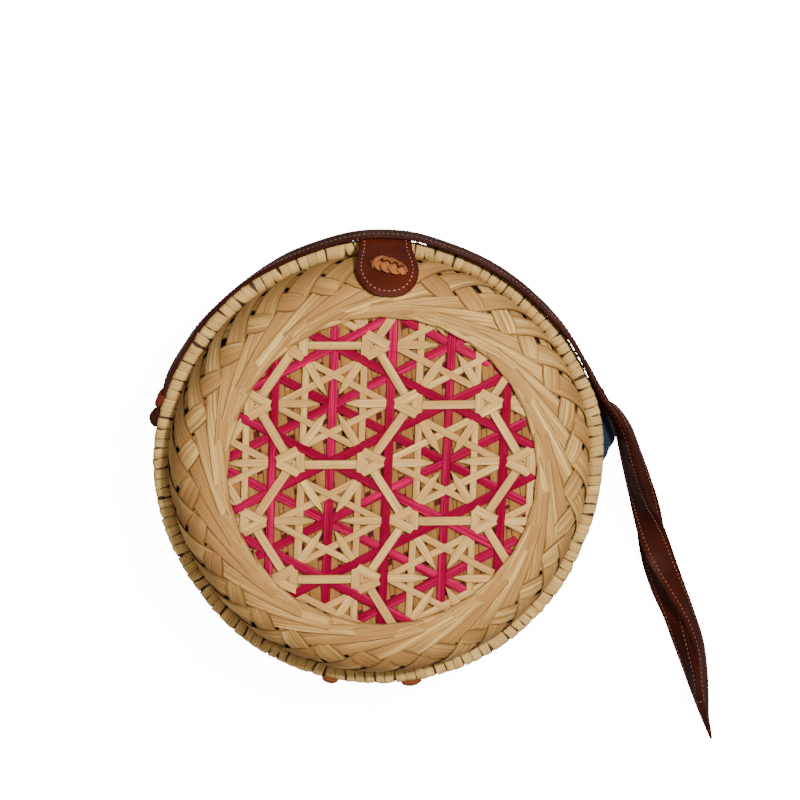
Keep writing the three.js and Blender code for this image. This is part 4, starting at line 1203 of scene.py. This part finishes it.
class BAG_OT_strap(bpy.types.Operator):
    """Make the stitched strap and the two lugs it hangs from"""
    bl_idname = "bag.strap"
    bl_label = "Strap and Lugs"
    bl_options = {"REGISTER", "UNDO"}

    def execute(self, context):
        sizes, colours = settings(context)
        leather = leather_finish("Strap leather", colours.strap, 0.4, 0.3)
        thread = plain_finish("Strap thread", colours.thread, darker(colours.thread, 0.6), 900.0)
        # Lighter and darker copies of the tab leather: the knob's is painted light and the loop's is painted
        # shade
        lit, dark = (leather_finish(f"Lug {name}", darker(colours.tab, share), 0.4)
                     for name, share in (("knob", 1.7), ("loop", 0.45)))
        make_piece("strap_leather", strap_leather(), leather, ["shoulder_strap"])
        make_piece("strap_stitches", strap_stitches(sizes), thread, crease=80)
        for name, *places in LUGS:
            body, band = lug(*places)
            make_piece(f"lug_{name}_knob", body, lit, [f"strap_lug_{name}"])
            make_piece(f"lug_{name}_loop", band, dark)
        return {"FINISHED"}


class BAG_OT_gusset(bpy.types.Operator):
    """Fold the cloth gusset out of the seam"""
    bl_idname = "bag.gusset"
    bl_label = "Cloth Gusset"
    bl_options = {"REGISTER", "UNDO"}

    def execute(self, context):
        cloth = cloth_finish("Navy cloth", context.scene.bamboo_bag.colours.cloth)
        make_piece("gusset_cloth", gusset(), cloth, ["side_gusset"])
        return {"FINISHED"}


class BAG_OT_stage(bpy.types.Operator):
    """Lay the pale floor, and set the lights and the camera"""
    bl_idname = "bag.stage"
    bl_label = "Stage"
    bl_options = {"REGISTER", "UNDO"}

    def execute(self, context):
        scene = context.scene
        floor_mesh = bpy.data.meshes.new("floor")
        corners = [(x * FLOOR_HALF, y * FLOOR_HALF, 0) for x, y in ((-1, -1), (1, -1), (1, 1), (-1, 1))]
        floor_mesh.from_pydata(corners, [], [(0, 1, 2, 3)])
        paper = plain_finish("Floor", (0.97, 0.97, 0.97), (0.95, 0.95, 0.95), 3.0, 0.95, 0.0)
        shader = paper.node_tree.nodes["Principled BSDF"]
        shader.inputs["Emission Color"].default_value = (1, 1, 1, 1)
        shader.inputs["Emission Strength"].default_value = FLOOR_GLOW
        floor_mesh.materials.append(paper)
        floor = bpy.data.objects.new("floor", floor_mesh)
        scene.collection.objects.link(floor)
        floor.visible_diffuse = floor.visible_glossy = False    # it is bright, and lights nothing
        floor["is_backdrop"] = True
        world = bpy.data.worlds.new("Studio")
        world.use_nodes = True
        sky = world.node_tree.nodes["Background"]
        sky.inputs["Color"].default_value = (1, 1, 1, 1)
        sky.inputs["Strength"].default_value = WORLD_STRENGTH
        scene.world = world
        for name, place, watts, across in LAMPS:
            light = bpy.data.lights.new(name, "AREA")
            light.shape, light.size, light.energy = "DISK", across, watts
            lamp = bpy.data.objects.new(name, light)
            turn = (Vector(LAMP_AIM) - Vector(place)).to_track_quat("-Z", "Y").to_matrix().to_4x4()
            lamp.matrix_world = Matrix.Translation(place) @ turn
            scene.collection.objects.link(lamp)
        camera = bpy.data.cameras.new("camera")
        camera.lens, camera.sensor_width, camera.clip_start = CAMERA_LENS, CAMERA_SENSOR, CAMERA_NEAR
        eye = bpy.data.objects.new("camera", camera)
        ahead = Vector(CAMERA_AHEAD).normalized()
        side = ahead.cross(Vector((0, 1, 0))).normalized()
        rotation = Matrix((side, side.cross(ahead), -ahead)).transposed().to_4x4()
        eye.matrix_world = Matrix.Translation(CAMERA_PLACE) @ rotation
        scene.collection.objects.link(eye)
        scene.camera = eye
        return {"FINISHED"}


class BAG_PT_panel(bpy.types.Panel):
    """The bag's pieces, sizes and colours in the sidebar"""
    bl_idname = "BAG_PT_panel"
    bl_label = "Bamboo Bag"
    bl_space_type = "VIEW_3D"
    bl_region_type = "UI"
    bl_category = "Bamboo Bag"

    def draw(self, context):
        for operator in OPERATORS:
            self.layout.operator(operator.bl_idname)
        for group in (context.scene.bamboo_bag.sizes, context.scene.bamboo_bag.colours):
            box = self.layout.box()
            for name in group.__annotations__:
                box.prop(group, name)


OPERATORS = (BAG_OT_rings, BAG_OT_rims, BAG_OT_stars, BAG_OT_closure, BAG_OT_hinges, BAG_OT_strap,
             BAG_OT_gusset, BAG_OT_stage)
CLASSES = (BagSizes, BagColours, BambooBag, *OPERATORS, BAG_PT_panel)


def register():
    for item in CLASSES:
        bpy.utils.register_class(item)
    bpy.types.Scene.bamboo_bag = PointerProperty(type=BambooBag)


def unregister():
    del bpy.types.Scene.bamboo_bag
    for item in reversed(CLASSES):
        bpy.utils.unregister_class(item)


def main():
    register()
    for name in ("rings", "rims", "stars", "closure", "hinges", "strap", "gusset", "stage"):
        getattr(bpy.ops.bag, name)()
    plain = lambda box: [[float(value) for value in corner] for corner in box]
    {"cad": plain(CAD_BOX), "visual": plain(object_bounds())}


if __name__ == "__main__":
    main()
